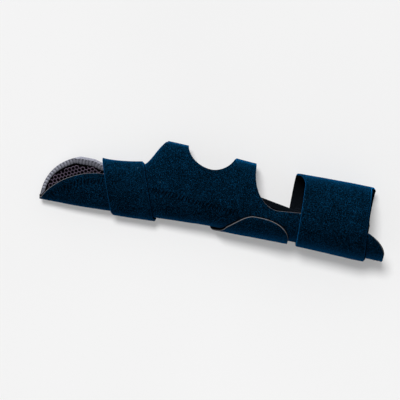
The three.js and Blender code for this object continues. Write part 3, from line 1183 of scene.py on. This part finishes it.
def thread_tree() -> Tree:
    """Tree that lays one short rounded thread on every point, along its run and facing outwards.

    Returns:
        The tree, with a named input for each size, the seed and the material.
    """
    number = "NodeSocketFloat"
    sizes = {"Length": number, "Width": number, "Height": number, "Spread": number}
    kinds = {**sizes, "Seed": "NodeSocketInt", "Material": "NodeSocketMaterial"}
    tree, given = new_tree("threads_on_points", kinds)
    vector = {"data_type": "FLOAT_VECTOR"}
    run = add_node(tree, "GeometryNodeInputNamedAttribute", vector, {"Name": Repeat.RUN.value})
    facing = add_node(tree, "GeometryNodeInputNamedAttribute", vector, {"Name": Repeat.FACING.value})
    upright = add_node(
        tree,
        "FunctionNodeAlignRotationToVector",
        {"axis": "Z"},
        {"Vector": facing.outputs["Attribute"]},
    )
    turned = add_node(
        tree,
        "FunctionNodeAlignRotationToVector",
        {"axis": "X", "pivot_axis": "Z"},
        {"Rotation": upright.outputs["Rotation"], "Vector": run.outputs["Attribute"]},
    )
    least = add_node(tree, "ShaderNodeMath", {"operation": "SUBTRACT"}, {0: 1.0, 1: given.outputs["Spread"]})
    most = add_node(tree, "ShaderNodeMath", {"operation": "ADD"}, {0: 1.0, 1: given.outputs["Spread"]})
    uneven = add_node(
        tree,
        "FunctionNodeRandomValue",
        {"data_type": "FLOAT"},
        {2: least.outputs[0], 3: most.outputs[0], "Seed": given.outputs["Seed"]},
    )
    reach = add_node(
        tree,
        "GeometryNodeInputNamedAttribute",
        {"data_type": "FLOAT"},
        {"Name": Repeat.REACH.value},
    )
    length = add_node(
        tree,
        "ShaderNodeMath",
        {"operation": "MULTIPLY"},
        {0: given.outputs["Length"], 1: reach.outputs["Attribute"]},
    )
    size = add_node(
        tree,
        "ShaderNodeCombineXYZ",
        {},
        {"X": length.outputs[0], "Y": given.outputs["Width"], "Z": given.outputs["Height"]},
    )
    scaled = add_node(
        tree,
        "ShaderNodeVectorMath",
        {"operation": "SCALE"},
        {0: size.outputs["Vector"], "Scale": uneven.outputs[1]},
    )
    bead = add_node(tree, "GeometryNodeMeshUVSphere", {}, BEAD)
    placed = add_node(
        tree,
        "GeometryNodeInstanceOnPoints",
        {},
        {
            "Points": given.outputs["Geometry"],
            "Instance": bead.outputs["Mesh"],
            "Rotation": turned.outputs["Rotation"],
            "Scale": scaled.outputs["Vector"],
        },
    )
    finish_tree(tree, placed.outputs["Instances"], given.outputs["Material"])
    return tree


def strand_tree() -> Tree:
    """Tree that turns every edge of a net into a round strand.

    Returns:
        The tree, with a named input for each size and the material.
    """
    sizes = {"Radius": "NodeSocketFloat", "Sides": "NodeSocketInt", "Material": "NodeSocketMaterial"}
    tree, given = new_tree("strands_on_edges", sizes)
    paths = add_node(tree, "GeometryNodeMeshToCurve", {}, {"Mesh": given.outputs["Geometry"]})
    ring = add_node(
        tree,
        "GeometryNodeCurvePrimitiveCircle",
        {},
        {"Resolution": given.outputs["Sides"], "Radius": given.outputs["Radius"]},
    )
    strands = add_node(
        tree,
        "GeometryNodeCurveToMesh",
        {},
        {"Curve": paths.outputs["Curve"], "Profile Curve": ring.outputs["Curve"], "Fill Caps": True},
    )
    finish_tree(tree, strands.outputs["Mesh"], given.outputs["Material"])
    return tree


def make_real(source: Thing, tree: Tree, values: dict[str, object]) -> Thing:
    """Runs a tree on an object and keeps the result as its plain mesh.

    Args:
        source: Object that holds the points or edges.
        tree: Geometry tree.
        values: Values of the tree's named inputs.

    Returns:
        The same object, with no modifier left.
    """
    modifier = source.modifiers.new(tree.name, "NODES")
    modifier.node_group = tree
    for item in tree.interface.items_tree:
        if item.in_out == "INPUT" and item.name in values:
            modifier[item.identifier] = values[item.name]
    seen = source.evaluated_get(bpy.context.evaluated_depsgraph_get())
    mesh = bpy.data.meshes.new_from_object(seen)
    source.modifiers.remove(modifier)
    source.data = mesh
    return source


@dataclass(frozen=True)
class Threads:
    """Repeated threads, a row for each: middle in metres, run, outward facing and share of full length."""

    points: Array
    runs: Array
    facings: Array
    reaches: Array

    @classmethod
    def joined(cls, parts: list["Threads"]) -> "Threads":
        """All the threads of several rows."""
        columns = ([getattr(part, field.name) for part in parts] for field in fields(cls))
        return cls(*(np.concatenate(column) for column in columns))

    def source(self, name: str) -> Thing:
        """Points that the tree lays threads on.

        Args:
            name: Name of the piece.

        Returns:
            An object with one point for each thread and its lie as attributes.
        """
        mesh = bpy.data.meshes.new(name)
        mesh.from_pydata(self.points.tolist(), [], [])
        for kind, values in ((Repeat.RUN, self.runs), (Repeat.FACING, self.facings)):
            attribute = mesh.attributes.new(kind.value, "FLOAT_VECTOR", "POINT")
            attribute.data.foreach_set("vector", values.astype(np.float32).ravel())
        reach = mesh.attributes.new(Repeat.REACH.value, "FLOAT", "POINT")
        reach.data.foreach_set("value", self.reaches.astype(np.float32))
        return link(bpy.data.objects.new(name, mesh))


def register(piece: Thing, slot: Slot, *nodes: str) -> Thing:
    """Fixes a piece to the frame.

    Args:
        piece: The finished piece.
        slot: Slot for its finish; not used.
        nodes: Solids of the frame that it stands for.

    Returns:
        The piece.
    """
    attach(piece, "root")
    if nodes:
        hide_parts(*nodes)
    log.info("%s: %d faces", piece.name, len(piece.data.polygons))
    return piece


@dataclass(frozen=True)
class Finishes:
    """Every material of the splint.

    The pile is the navy that the eye meets everywhere. The core draws a thin grey line along its cut
    edges, and a black ply beside it is painted shade for the shadow line there; the inside is the soft
    black of the openings. The mauve net glints on its black ground at the tip, between pale ribs whose
    darker bed is painted shade between them and shows as lines. The near-black thread is painted shade
    that shows only as a shadow in the puckered row.
    """

    pile: Material
    core: Material
    backing: Material
    inside: Material
    ground: Material
    net: Material
    overlock: Material
    overlock_bed: Material
    thread: Material

    @classmethod
    def build(cls) -> "Finishes":
        """Makes the materials."""
        return cls(
            pile=LoopPile().build(),
            core=CutFoam("grey_foam_edge", "#3c3b3e", "#6c696a").build(),
            # Near-black ply, painted shade: the shadow line beside cut edges, widest on the straps' right
            # edges
            backing=Yarn("black_tricot_backing", "#010204", "#03070b").build(),
            inside=Yarn("black_knitted_inside", "#05070a", "#13181e").build(),
            ground=Yarn("black_lining_ground", "#020203", "#050506").build(),
            net=Yarn("mauve_net_yarn", "#453b49", "#685c6d", gloss=0.1).build(),
            overlock=Yarn("grey_overlock_yarn", "#70717a", "#8f909c", gloss=0.1).build(),
            # Bed darker than the ribs: painted shade in the gaps between ribs
            overlock_bed=Yarn("overlock_bed_painted_rib_shade", "#4a4b53", "#62636c", gloss=0.1).build(),
            # Near-black thread: painted shade for the hollows of the puckers along the seam
            thread=Yarn("seam_thread_painted_pucker_shade", "#010306", "#02080f").build(),
        )

    def laminate(self, core: Material) -> dict[Ply, Material]:
        """Plies of the foam laminate with a given core."""
        return {
            Ply.FACE: self.pile,
            Ply.CORE: core,
            Ply.BACKING_SHADE: self.backing,
            Ply.BOUND: self.overlock,
            Ply.INSIDE: self.inside,
        }


def plain_plies(material: Material) -> dict[Ply, Material]:
    """One finish for every ply."""
    return dict.fromkeys(Ply, material)


@dataclass(frozen=True)
class GutterShell:
    """Folded gutter, palm panel, wrap and tongue in one cut of foam laminate."""

    form: SplintForm
    cut: ShellCut
    seam: LiningSeam
    gutter_rows: int = 78
    wrap_rows: int = 54
    start: float = -2
    spans: Rows = (
        (4, 0.5),
        (60, 0.62),
        (90, 1.6),
        (111, 0.62),
        (118, 0.2),
        (206, 0.62),
        (208, 0.25),
        (240, 1.3),
        (250, 0.5),
        (300, 2),
        (338, 1.5),
        (346, 0.4),
    )
    climb: Span = (262, 316)
    edge_spread: float = 0.45
    tongue_spread: float = 1.2
    tip_spread: float = 1.0
    tongue_from: Span = (180, 196)
    tongue_to: Span = (242, 249.5)
    bound_to: float = 56
    flat: Span = (0.30, 0.348)

    def build(self, finishes: Finishes) -> Thing:
        """Makes and fixes the shell.

        Args:
            finishes: The splint's materials.

        Returns:
            The shell's object.
        """
        along = spaced(self.start, self.spans)
        marks = (self.cut.wrap_left.start, self.cut.hole.start, self.cut.hole.stop, self.cut.tongue.stop)
        along = np.unique(np.concatenate([along, marks]))
        first = int(np.searchsorted(along, self.cut.wrap_left.start))
        last = int(np.searchsorted(along, self.cut.tongue.stop))
        wrap = along[first : last + 1]
        wrap_low = self.cut.wrap_low(wrap)
        wrap_high = self.cut.wrap_high(wrap)
        # The wrap leaves the thumb side and closes at the fold, each in one point
        wrap_low[-1] = wrap_high[-1] = FULL_TURN + FOLD_TURN
        wrap_high[0] = THUMB_TURN
        gutter = (self.cut.back_edge(along), self.cut.gutter_high(along))
        low_turns = self.form.even_turns(along, *gutter, self.gutter_rows)
        high_turns = self.form.even_turns(wrap, wrap_low, wrap_high, self.wrap_rows)

        low, high = pair_of_ribbons(self.gutter_rows, self.wrap_rows, self.cut.joined(along), first, last)
        high[0, :] = low[first, -1]
        high[-1, :] = high[-1, 0]
        topology = SheetFaces.from_grids(low, high)

        places = on_ribbons(low, high, along[:, None], wrap[:, None])
        turns = on_ribbons(low, high, low_turns, high_turns)
        # The cut edge leans out most at the tongue and the tip, where it shows from above: a grey core line
        # and beside it the black ply, painted shade for the shadow line along the edge
        spread = np.full_like(places, self.edge_spread)
        shown = smooth_rise(wrap, *self.tongue_from) * (1 - smooth_rise(wrap, *self.tongue_to))
        spread[high[:, -1]] += (self.tongue_spread - self.edge_spread) * shown
        spread[low[:, -1]] = np.where(along < self.cut.tip_palm.length, self.tip_spread, spread[low[:, -1]])
        bound = np.zeros(places.shape, dtype=bool)
        bound[low[along < self.bound_to, 0]] = True
        places = places[topology.kept]
        turns = turns[topology.kept]

        lift = LAYER * smooth_rise(turns, *self.climb)
        on_palm = (turns > FOLD_TURN) & (turns < THUMB_TURN)
        across = self.form.across(places, turns, SHEET)
        relief = np.where(on_palm, self.seam.pucker(places, across), 0)
        sheet = ClothSheet(
            "gutter_shell_felt",
            self.form.place(places, turns, lift + SHEET + relief),
            self.form.place(places, turns, lift),
            topology,
            spread[topology.kept],
            bound[topology.kept],
        )
        plies = finishes.laminate(finishes.core)
        piece = register(sheet.build(plies), Slot.FELT, "gutter_shell")
        sheet.area()
        return piece


@dataclass(frozen=True)
class SeamStitches:
    """Zigzag thread of the lining seam, where no strap covers it. Its near-black colour is painted shade for
    the hollows of the puckers.
    """

    form: SplintForm
    seam: LiningSeam
    width: float = 1.2
    height: float = 0.6
    stroke: float = 7.0
    lean: float = 0.25
    sink: float = 0.25
    unevenness: float = 0.15
    seed: int = 4

    def build(self, finishes: Finishes) -> Thing:
        """Makes and fixes the stitches.

        Args:
            finishes: The splint's materials.

        Returns:
            The stitches' object.
        """
        places, slopes, lengths = self.seam.path()
        rows = []
        for start, stop in self.seam.shown:
            reach = np.interp([start, stop], places, lengths)
            length = np.arange(reach[0], reach[1], self.seam.pitch)
            along = np.interp(length, lengths, places)
            slope = np.interp(along, places, slopes)
            tilt = -slope / np.sqrt(1 + slope**2)
            side = np.sqrt(1 - tilt**2)
            half = self.stroke / 2
            ends = []
            for sign in (-1, 1):
                at = along + sign * (half * tilt + self.lean * self.seam.pitch)
                across = self.seam.across(along) + sign * half * side
                turn = self.form.palm_turn(at, across)
                ends.append(self.form.place(at, turn, SHEET - self.sink))
            turn = self.form.palm_turn(along, self.seam.across(along))
            relief = self.seam.pucker(along, self.seam.across(along))
            points = self.form.place(along, turn, SHEET + relief + self.seam.thread_lift)
            facings = self.form.normals(along, turn)
            rows.append(Threads(points, ends[1] - ends[0], facings, np.ones_like(along)))
        source = Threads.joined(rows).source("seam_stitches")
        sizes = {"Length": self.stroke * MM, "Width": self.width * MM, "Height": self.height * MM}
        values = {**sizes, "Spread": self.unevenness, "Seed": self.seed, "Material": finishes.thread}
        return register(make_real(source, thread_tree(), values), Slot.FELT)


@dataclass(frozen=True)
class BandShape:
    """Outline of the edge band, which narrows towards the tip."""

    tip_width: float = 3.0
    full_width: float = 5.0
    taper: float = 22
    stop: float = 56

    def width(self, along: Array) -> Array:
        """Width of the band at each place."""
        return self.tip_width + (self.full_width - self.tip_width) * smooth_rise(along, 0, self.taper)


@dataclass(frozen=True)
class HexNet:
    """Flat net of hexagons, measured in the side of a cell."""

    pitch: float
    length: float
    half_width: float
    sides: int = 6
    column_step: float = 1.5
    stagger: float = 0.5
    same_place: float = 0.1

    def knots(self) -> tuple[Array, Array]:
        """Knots and strands of the net.

        Returns:
            Place of each knot, and pairs of knot numbers that a strand joins.
        """
        side = self.pitch / math.sqrt(3)
        columns = int(self.length / (self.column_step * side)) + 1
        rows = int(self.half_width / self.pitch)
        column, row = np.meshgrid(np.arange(columns), np.arange(-rows, rows), indexing="ij")
        around = (row + self.stagger * (column % 2)) * self.pitch
        middles = np.stack([column * self.column_step * side, around], axis=-1).reshape(-1, 2)
        angles = np.arange(self.sides) * 2 * math.pi / self.sides
        spokes = side * np.stack([np.cos(angles), np.sin(angles)], axis=1)
        knots = (middles[None] + spokes[:, None]).reshape(-1, 2)
        keys = np.round(knots / (self.same_place * side)).astype(int)
        _, index, inverse = np.unique(keys, axis=0, return_index=True, return_inverse=True)
        ring = inverse.reshape(self.sides, -1)
        pairs = np.stack([ring, np.roll(ring, -1, axis=0)], axis=-1).reshape(-1, 2)
        return knots[index], np.unique(np.sort(pairs, axis=1), axis=0)


@dataclass(frozen=True)
class MeshLining:
    """Dark lining inside the gutter: a thin ground with a net of round strands on it.

    The net's cells are drawn a little coarser than real ones, so that they show in the picture.
    """

    form: SplintForm
    cut: ShellCut
    seam: LiningSeam
    band: BandShape
    seam_gap: float = 0.5
    end_inset: float = 5.9
    stop: float = 338
    rows: int = 36
    first_step: float = 0.6
    step: float = 2.2
    ground: float = 0.5
    bulge: float = 0.1
    pitch: float = 3.7
    strand: float = 0.36
    sides: int = 5
    half_width: float = 150
    margin: float = 1.6
    samples: int = 260
    flat: Span = (0.10, 0.336)

    @property
    def start(self) -> float:
        """Place of the lining's point at the tip."""
        return self.cut.tip_back.start + self.band.tip_width + self.seam_gap

    def edges(self, along: Array) -> tuple[Array, Array]:
        """Turns of the lining's two long edges.

        Args:
            along: Places along the splint.

        Returns:
            The low and the high turn for each place.
        """
        inset = self.band.width(along) + self.seam_gap
        level = read_rows(self.seam.rows, along) * self.cut.end_share(along, self.end_inset)
        seam = np.minimum(level, self.cut.palm_across(along, np.maximum(inset, self.end_inset)))
        low = self.cut.back_edge(along, inset, -LINING_GAP)
        return low, self.form.palm_turn(along, seam, -LINING_GAP)

    def net(self) -> tuple[Array, list[tuple[int, int]]]:
        """Hexagonal net laid on the ground.

        Returns:
            The net's knots in the frame and the pairs of knots that a strand joins.
        """
        knots, pairs = HexNet(self.pitch, self.stop, self.half_width).knots()
        along, around = knots[:, 0], knots[:, 1]
        fine = np.linspace(self.cut.back_curl, THUMB_TURN, self.samples)
        length = self.form.girth(along, fine[None, :])
        fold = np.array([np.interp(FOLD_TURN, fine, row) for row in length])
        turn = np.array([np.interp(a + f, row, fine) for a, f, row in zip(around, fold, length)])
        low, high = self.edges(along)
        inside = (turn > low + self.margin) & (turn < high - self.margin)
        inside &= (along > self.start + self.strand) & (along < self.stop - self.strand)
        joined = [tuple(pair) for pair in pairs.tolist() if inside[pair].all()]
        return self.form.place(along, turn, -LINING_GAP - self.ground - self.strand), joined

    def build(self, finishes: Finishes) -> Thing:
        """Makes and fixes the ground and the net.

        Args:
            finishes: The splint's materials.

        Returns:
            The ground's object.
        """
        inner = np.arange(self.start + self.first_step, self.stop, self.step)
        along = np.concatenate([[self.start], inner, [self.stop]])
        low, high = self.edges(along)
        low[0] = high[0] = FOLD_TURN
        turns = self.form.even_turns(along, low, high, self.rows)
        ids = np.arange(turns.size).reshape(turns.shape)
        ids[0, :] = ids[0, 0]
        topology = SheetFaces.from_grids(ids)
        places = np.repeat(along, self.rows)[topology.kept]
        kept = turns.ravel()[topology.kept]
        sheet = ClothSheet(
            "lining_ground",
            self.form.place(places, kept, -LINING_GAP),
            self.form.place(places, kept, -LINING_GAP - self.ground),
            topology,
            np.zeros_like(places),
            np.zeros(places.shape, dtype=bool),
            self.bulge,
        )
        ground = register(sheet.build(plain_plies(finishes.ground)), Slot.MESH, "mesh_lining")
        knots, strands = self.net()
        mesh = bpy.data.meshes.new("lining_net")
        mesh.from_pydata(knots.tolist(), strands, [])
        source = link(bpy.data.objects.new("lining_net", mesh))
        values = {"Radius": self.strand * MM, "Sides": self.sides, "Material": finishes.net}
        net = register(make_real(source, strand_tree(), values), Slot.MESH)
        sheet.area()
        return ground


@dataclass(frozen=True)
class EdgeBand:
    """Pale overlock band inside both tip edges, with thread ribs across it and over the cut edge."""

    form: SplintForm
    cut: ShellCut
    shape: BandShape
    start: float = -1.6
    palm_start: float = 0.75
    near_stop: float = 12
    steps: tuple[float, float, float, float] = (0.4, 0.12, 0.5, 1.2)
    rows: int = 6
    base: float = 0.6
    rib_pitch: float = 3.3
    rib_width: float = 3.0
    rib_height: float = 1.3
    overhang: float = 0.5
    samples: int = 900
    ahead: float = 0.05
    aside: float = 1
    end_gap: float = 1
    unevenness: float = 0.06
    seed: int = 9
    flat: Span = (0.0102, 0.098)

    @property
    def rib_length(self) -> float:
        """Length of the longest rib."""
        return self.shape.full_width + 2 * self.overhang

    def spaced_ribs(self, along: Array, path: Array) -> Array:
        """Places along a path at the ribs' pitch.

        Args:
            along: Places along the splint.
            path: The path's point at each of them, in metres.

        Returns:
            One place for each rib.
        """
        steps = np.linalg.norm(np.diff(path, axis=0), axis=1)
        length = np.concatenate([[0.0], np.cumsum(steps)]) / MM
        return np.interp(np.arange(self.rib_pitch / 2, length[-1], self.rib_pitch), length, along)

    def face_ribs(self, edge: Callable[..., Array], start: float) -> Threads:
        """Ribs across the band on the inside of one wall.

        Args:
            edge: Turn of the wall's free edge for a place, an inset and a lift.
            start: Place of the first rib.

        Returns:
            One rib for each pitch.
        """
        lift = -LINING_GAP - self.base
        along = np.linspace(start, self.shape.stop - self.end_gap, self.samples)
        turn = edge(along, self.shape.width(along) / 2, -LINING_GAP)
        at = self.spaced_ribs(along, self.form.place(along, turn, lift))
        points = self.form.place(at, np.interp(at, along, turn), lift)
        ahead = self.form.place(at + self.ahead, np.interp(at + self.ahead, along, turn), lift)
        facing = -self.form.normals(at, np.interp(at, along, turn))
        reach = (self.shape.width(at) + 2 * self.overhang) / self.rib_length
        return Threads(points, np.cross(facing, ahead - points), facing, reach)

    def edge_ribs(self) -> Threads:
        """Ribs over the cut edge of the back wall, in line with those on its face.

        Returns:
            One rib for each pitch.
        """
        middle = SHEET / 2
        along = np.linspace(self.start, self.shape.stop - self.end_gap, self.samples)
        turn = self.cut.back_edge(along)
        at = self.spaced_ribs(along, self.form.place(along, turn, middle))
        edge = np.interp(at, along, turn)
        points = self.form.place(at, edge, middle)
        ahead = self.form.place(at + self.ahead, np.interp(at + self.ahead, along, turn), middle)
        run = self.form.normals(at, edge)
        facing = np.cross(run, ahead - points)
        away = self.form.place(at, edge - self.aside, middle) - points
        facing *= np.sign((facing * away).sum(axis=1, keepdims=True))
        return Threads(points, run, facing, np.full_like(at, SHEET / self.rib_length))

    def build(self, finishes: Finishes) -> Thing:
        """Makes and fixes the band.

        Args:
            finishes: The splint's materials.

        Returns:
            The band's object.
        """
        meet = self.cut.tip_back.start + self.shape.tip_width
        stops = (self.palm_start, meet, self.near_stop, self.shape.stop)
        along = spaced(self.start, tuple(zip(stops, self.steps)))
        first = int(np.searchsorted(along, self.palm_start))
        shared = along <= meet
        width = self.shape.width(along)
        back = self.cut.back_edge(along, 0.0, -LINING_GAP)
        palm = self.cut.palm_edge(along, 0.0, -LINING_GAP)
        back_inset = np.where(shared, FOLD_TURN, self.cut.back_edge(along, width, -LINING_GAP))
        in_cap = along <= self.cut.tip_palm.start + self.shape.tip_width
        palm_inset = np.where(in_cap, FOLD_TURN, self.cut.palm_edge(along, width, -LINING_GAP))
        low, high = pair_of_ribbons(self.rows, self.rows, shared, first, len(along) - 1)
        topology = SheetFaces.from_grids(low, high)
        low_turns = self.form.even_turns(along, back, back_inset, self.rows)
        high_turns = self.form.even_turns(along[first:], palm_inset[first:], palm[first:], self.rows)
        places = on_ribbons(low, high, along[:, None], along[first:, None])[topology.kept]
        turns = on_ribbons(low, high, low_turns, high_turns)[topology.kept]
        sheet = ClothSheet(
            "edge_band_base",
            self.form.place(places, turns, -LINING_GAP),
            self.form.place(places, turns, -LINING_GAP - self.base),
            topology,
            np.zeros_like(places),
            np.zeros(places.shape, dtype=bool),
        )
        # The band's base takes the darker bed finish, painted shade between the ribs
        band = register(sheet.build(plain_plies(finishes.overlock_bed)), Slot.OVERLOCK, "tip_edge_band")
        rows = [
            self.face_ribs(self.cut.back_edge, self.start + self.shape.tip_width / 2),
            self.face_ribs(self.cut.palm_edge, self.cut.tip_palm.start + self.shape.tip_width / 2),
            self.edge_ribs(),
        ]
        source = Threads.joined(rows).source("edge_band_ribs")
        sizes = {
            "Length": self.rib_length * MM,
            "Width": self.rib_width * MM,
            "Height": self.rib_height * MM,
            "Spread": self.unevenness,
        }
        values = {**sizes, "Seed": self.seed, "Material": finishes.overlock}
        ribs = register(make_real(source, thread_tree(), values), Slot.OVERLOCK)
        sheet.area()
        return band


@dataclass(frozen=True)
class StrapEdge:
    """Place of a strap's two edges at one turn."""

    turn: float
    left: float
    right: float


@dataclass(frozen=True)
class Strap:
    """Strap that starts at the back, goes once round and laps over its own start.

    Attributes:
        edges: Its two edges by turn.
        slant: Distance towards the tip for each millimetre across.
        climb: Turns over which it climbs on to its own start.
        corner: Radius of its end's corners.
        crown: Height by which its middle stands up.
        gathering: How far its columns of points draw together at the edges.
        edge_inset: Width that the rounded edges add on each side.
    """

    form: SplintForm
    name: str
    node: str
    edges: tuple[StrapEdge, ...]
    slant: float
    start_turn: float
    climb: Span
    end_turn: float
    corner: float
    columns: int
    rows: int
    flat: Span
    crown: float = 0.25
    crown_power: int = 4
    gathering: float = 0.35
    slant_rounds: int = 6
    left_spread: float = 0.7
    right_spread: float = 2.2
    edge_inset: float = 0.7
    edge_bulge: float = 0.25
    shoulders: tuple[float, ...] = (0.0, 0.2, 0.5, 0.92, 1.0)

    def along(self, share: Array, turn: Array, lift: Array) -> Array:
        """Places along the splint.

        Args:
            share: Share of the strap's width.
            turn: Degrees round the form.
            lift: Distance out from the form's surface.

        Returns:
            One place for each share, moved towards the tip where the strap slants.
        """
        turns = [edge.turn for edge in self.edges]
        left = np.interp(turn, turns, [edge.left + self.edge_inset for edge in self.edges])
        right = np.interp(turn, turns, [edge.right - self.edge_inset for edge in self.edges])
        square = left + (right - left) * share
        along = square
        for _ in range(self.slant_rounds if self.slant else 0):
            along = square - self.slant * self.form.across(along, turn, lift)
        return along

    def build(self, finishes: Finishes) -> Thing:
        """Makes and fixes the strap.

        Args:
            finishes: The splint's materials.

        Returns:
            The strap's object.
        """
        share = np.linspace(0, 1, self.columns)
        share = share - self.gathering * np.sin(2 * np.pi * share) / (2 * np.pi)
        width = self.edges[-1].right - self.edges[-1].left
        rise = np.maximum(0, self.corner - np.minimum(share, 1 - share) * width)
        inset = self.corner - np.sqrt(self.corner**2 - rise**2)
        end = self.end_turn - np.degrees(inset / self.form.fold_reach)
        middle = np.full(self.columns, (self.edges[0].left + self.edges[0].right) / 2)
        turns = self.form.even_turns(middle, np.full(self.columns, self.start_turn), end, self.rows)
        shares = np.repeat(share, self.rows)
        turns = turns.ravel()
        topology = SheetFaces.from_grids(np.arange(turns.size).reshape(self.columns, self.rows))
        lift = SHEET + STRAP_GAP + LAYER * smooth_rise(turns, *self.climb)
        crown = self.crown * (1 - (2 * shares - 1) ** self.crown_power) * (turns < self.climb[0])
        faces = [
            self.form.place(self.along(shares, turns, face), turns, face)
            for face in (lift + SHEET + crown, lift)
        ]
        # The right edge spreads wider, so that more black ply shows there: painted shade on the sides away
        # from the key light
        spread = self.left_spread + (self.right_spread - self.left_spread) * shares
        bound = np.zeros(turns.shape, dtype=bool)
        sheet = ClothSheet(self.name, *faces, topology, spread, bound, self.edge_bulge, self.shoulders)
        piece = register(sheet.build(finishes.laminate(finishes.pile)), Slot.FELT, self.node)
        sheet.area()
        return piece


@dataclass(frozen=True)
class FingerStrap(Strap):
    """Narrow slanted strap near the tip."""

    name: str = "finger_strap_felt"
    node: str = "finger_strap"
    edges: tuple[StrapEdge, ...] = (
        StrapEdge(-30, 70.5, 112.8),
        StrapEdge(40, 73, 115),
        StrapEdge(70, 74.4, 116),
        StrapEdge(90, 73.1, 114.6),
        StrapEdge(112, 70.5, 112.8),
        StrapEdge(400, 70.5, 112.8),
    )
    slant: float = 0.36
    start_turn: float = -30
    climb: Span = (276, 322)
    end_turn: float = 388
    corner: float = 7
    columns: int = 44
    rows: int = 190
    flat: Span = (0.0423, 0.215)


@dataclass(frozen=True)
class ForearmStrap(Strap):
    """Wide strap near the elbow end, whose edges follow the taper."""

    name: str = "forearm_strap_felt"
    node: str = "forearm_strap"
    edges: tuple[StrapEdge, ...] = (
        StrapEdge(-30, 251, 328),
        StrapEdge(45, 258.2, 328.6),
        StrapEdge(90, 258.8, 328.4),
        StrapEdge(180, 257.4, 324),
        StrapEdge(235, 256.4, 322.6),
        StrapEdge(262, 250.5, 322.6),
        StrapEdge(290, 247, 327),
        StrapEdge(400, 247, 327.5),
    )
    slant: float = 0
    start_turn: float = -14
    climb: Span = (284, 333)
    end_turn: float = 398
    corner: float = 9
    columns: int = 64
    rows: int = 200
    flat: Span = (0.0805, 0.270)


@dataclass(frozen=True)
class Lamp:
    """Far soft light. Share is its part of the light on the floor, and a plain fill casts no shadow."""

    name: str
    azimuth: float
    elevation: float
    softness: float
    share: float
    casts: bool = True

    def build(self) -> Thing:
        """Makes the light, turned to shine from its azimuth and elevation.

        Returns:
            The light's object.
        """
        lamp = bpy.data.lights.new(self.name, "SUN")
        lamp.angle = math.radians(self.softness)
        lamp.energy = self.share * math.pi / math.sin(math.radians(self.elevation))
        lamp.use_shadow = self.casts
        thing = link(bpy.data.objects.new(self.name, lamp))
        tilt = math.pi / 2 - math.radians(self.elevation)
        thing.rotation_euler = (0, tilt, math.radians(self.azimuth))
        return thing


@dataclass(frozen=True)
class Studio:
    """Pale floor, soft light from the thumb side and a long lens straight above the palm."""

    form: SplintForm
    floor: float = 4.0
    aim: tuple[float, float, float] = (156.8, 26.5, 26)
    distance: float = 2500
    lens: float = 225
    sensor: float = 36
    far: float = 20
    roll: float = 10.5
    sky: float = 0.19
    sky_colour: str = "#ffffff"
    lamps: tuple[Lamp, ...] = (
        Lamp("key_above_tip", 122, 70, 16, 0.55),
        Lamp("fill_at_thumb_side", 105, 12, 20, 0.26, casts=False),
    )

    def build(self) -> None:
        """Makes the floor, the lights and the camera."""
        scene = bpy.context.scene
        half = self.floor / 2
        mesh = bpy.data.meshes.new("floor")
        sides = [(-half, -half, 0), (half, -half, 0), (half, half, 0), (-half, half, 0)]
        mesh.from_pydata(sides, [], [(0, 1, 2, 3)])
        mesh.materials.append(PaperFloor().build())
        link(bpy.data.objects.new("floor", mesh))

        world = bpy.data.worlds.new("soft_studio")
        scene.world = world
        world.use_nodes = True
        background = world.node_tree.nodes["Background"]
        background.inputs["Color"].default_value = linear(self.sky_colour)
        background.inputs["Strength"].default_value = self.sky
        for lamp in self.lamps:
            lamp.build()
        scene.view_settings.view_transform = "Standard"

        camera = bpy.data.cameras.new("camera")
        camera.lens = self.lens
        camera.sensor_width = self.sensor
        camera.clip_end = self.far
        eye = link(bpy.data.objects.new("camera", camera))
        along, across, up = self.aim
        eye.location = (
            (along - self.form.origin[0]) * MM,
            (across - self.form.origin[1]) * MM,
            (up + self.distance) * MM,
        )
        eye.rotation_euler = (0, 0, math.radians(self.roll))
        scene.camera = eye
        log.info("studio ready")


def corners(box: tuple[Vector, Vector]) -> list[list[float]]:
    """Lowest and highest corner as plain lists."""
    return [list(corner) for corner in box]


def main() -> None:
    """Builds every piece of the splint and its studio."""
    logging.basicConfig(level=logging.INFO, format="%(message)s")
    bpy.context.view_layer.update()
    form = SplintForm()
    cut = ShellCut(form)
    seam = LiningSeam(cut)
    finishes = Finishes.build()
    Studio(form).build()
    GutterShell(form, cut, seam).build(finishes)
    SeamStitches(form, seam).build(finishes)
    band = BandShape()
    MeshLining(form, cut, seam, band).build(finishes)
    EdgeBand(form, cut, band).build(finishes)
    FingerStrap(form).build(finishes)
    ForearmStrap(form).build(finishes)


if __name__ == "__main__":
    main()
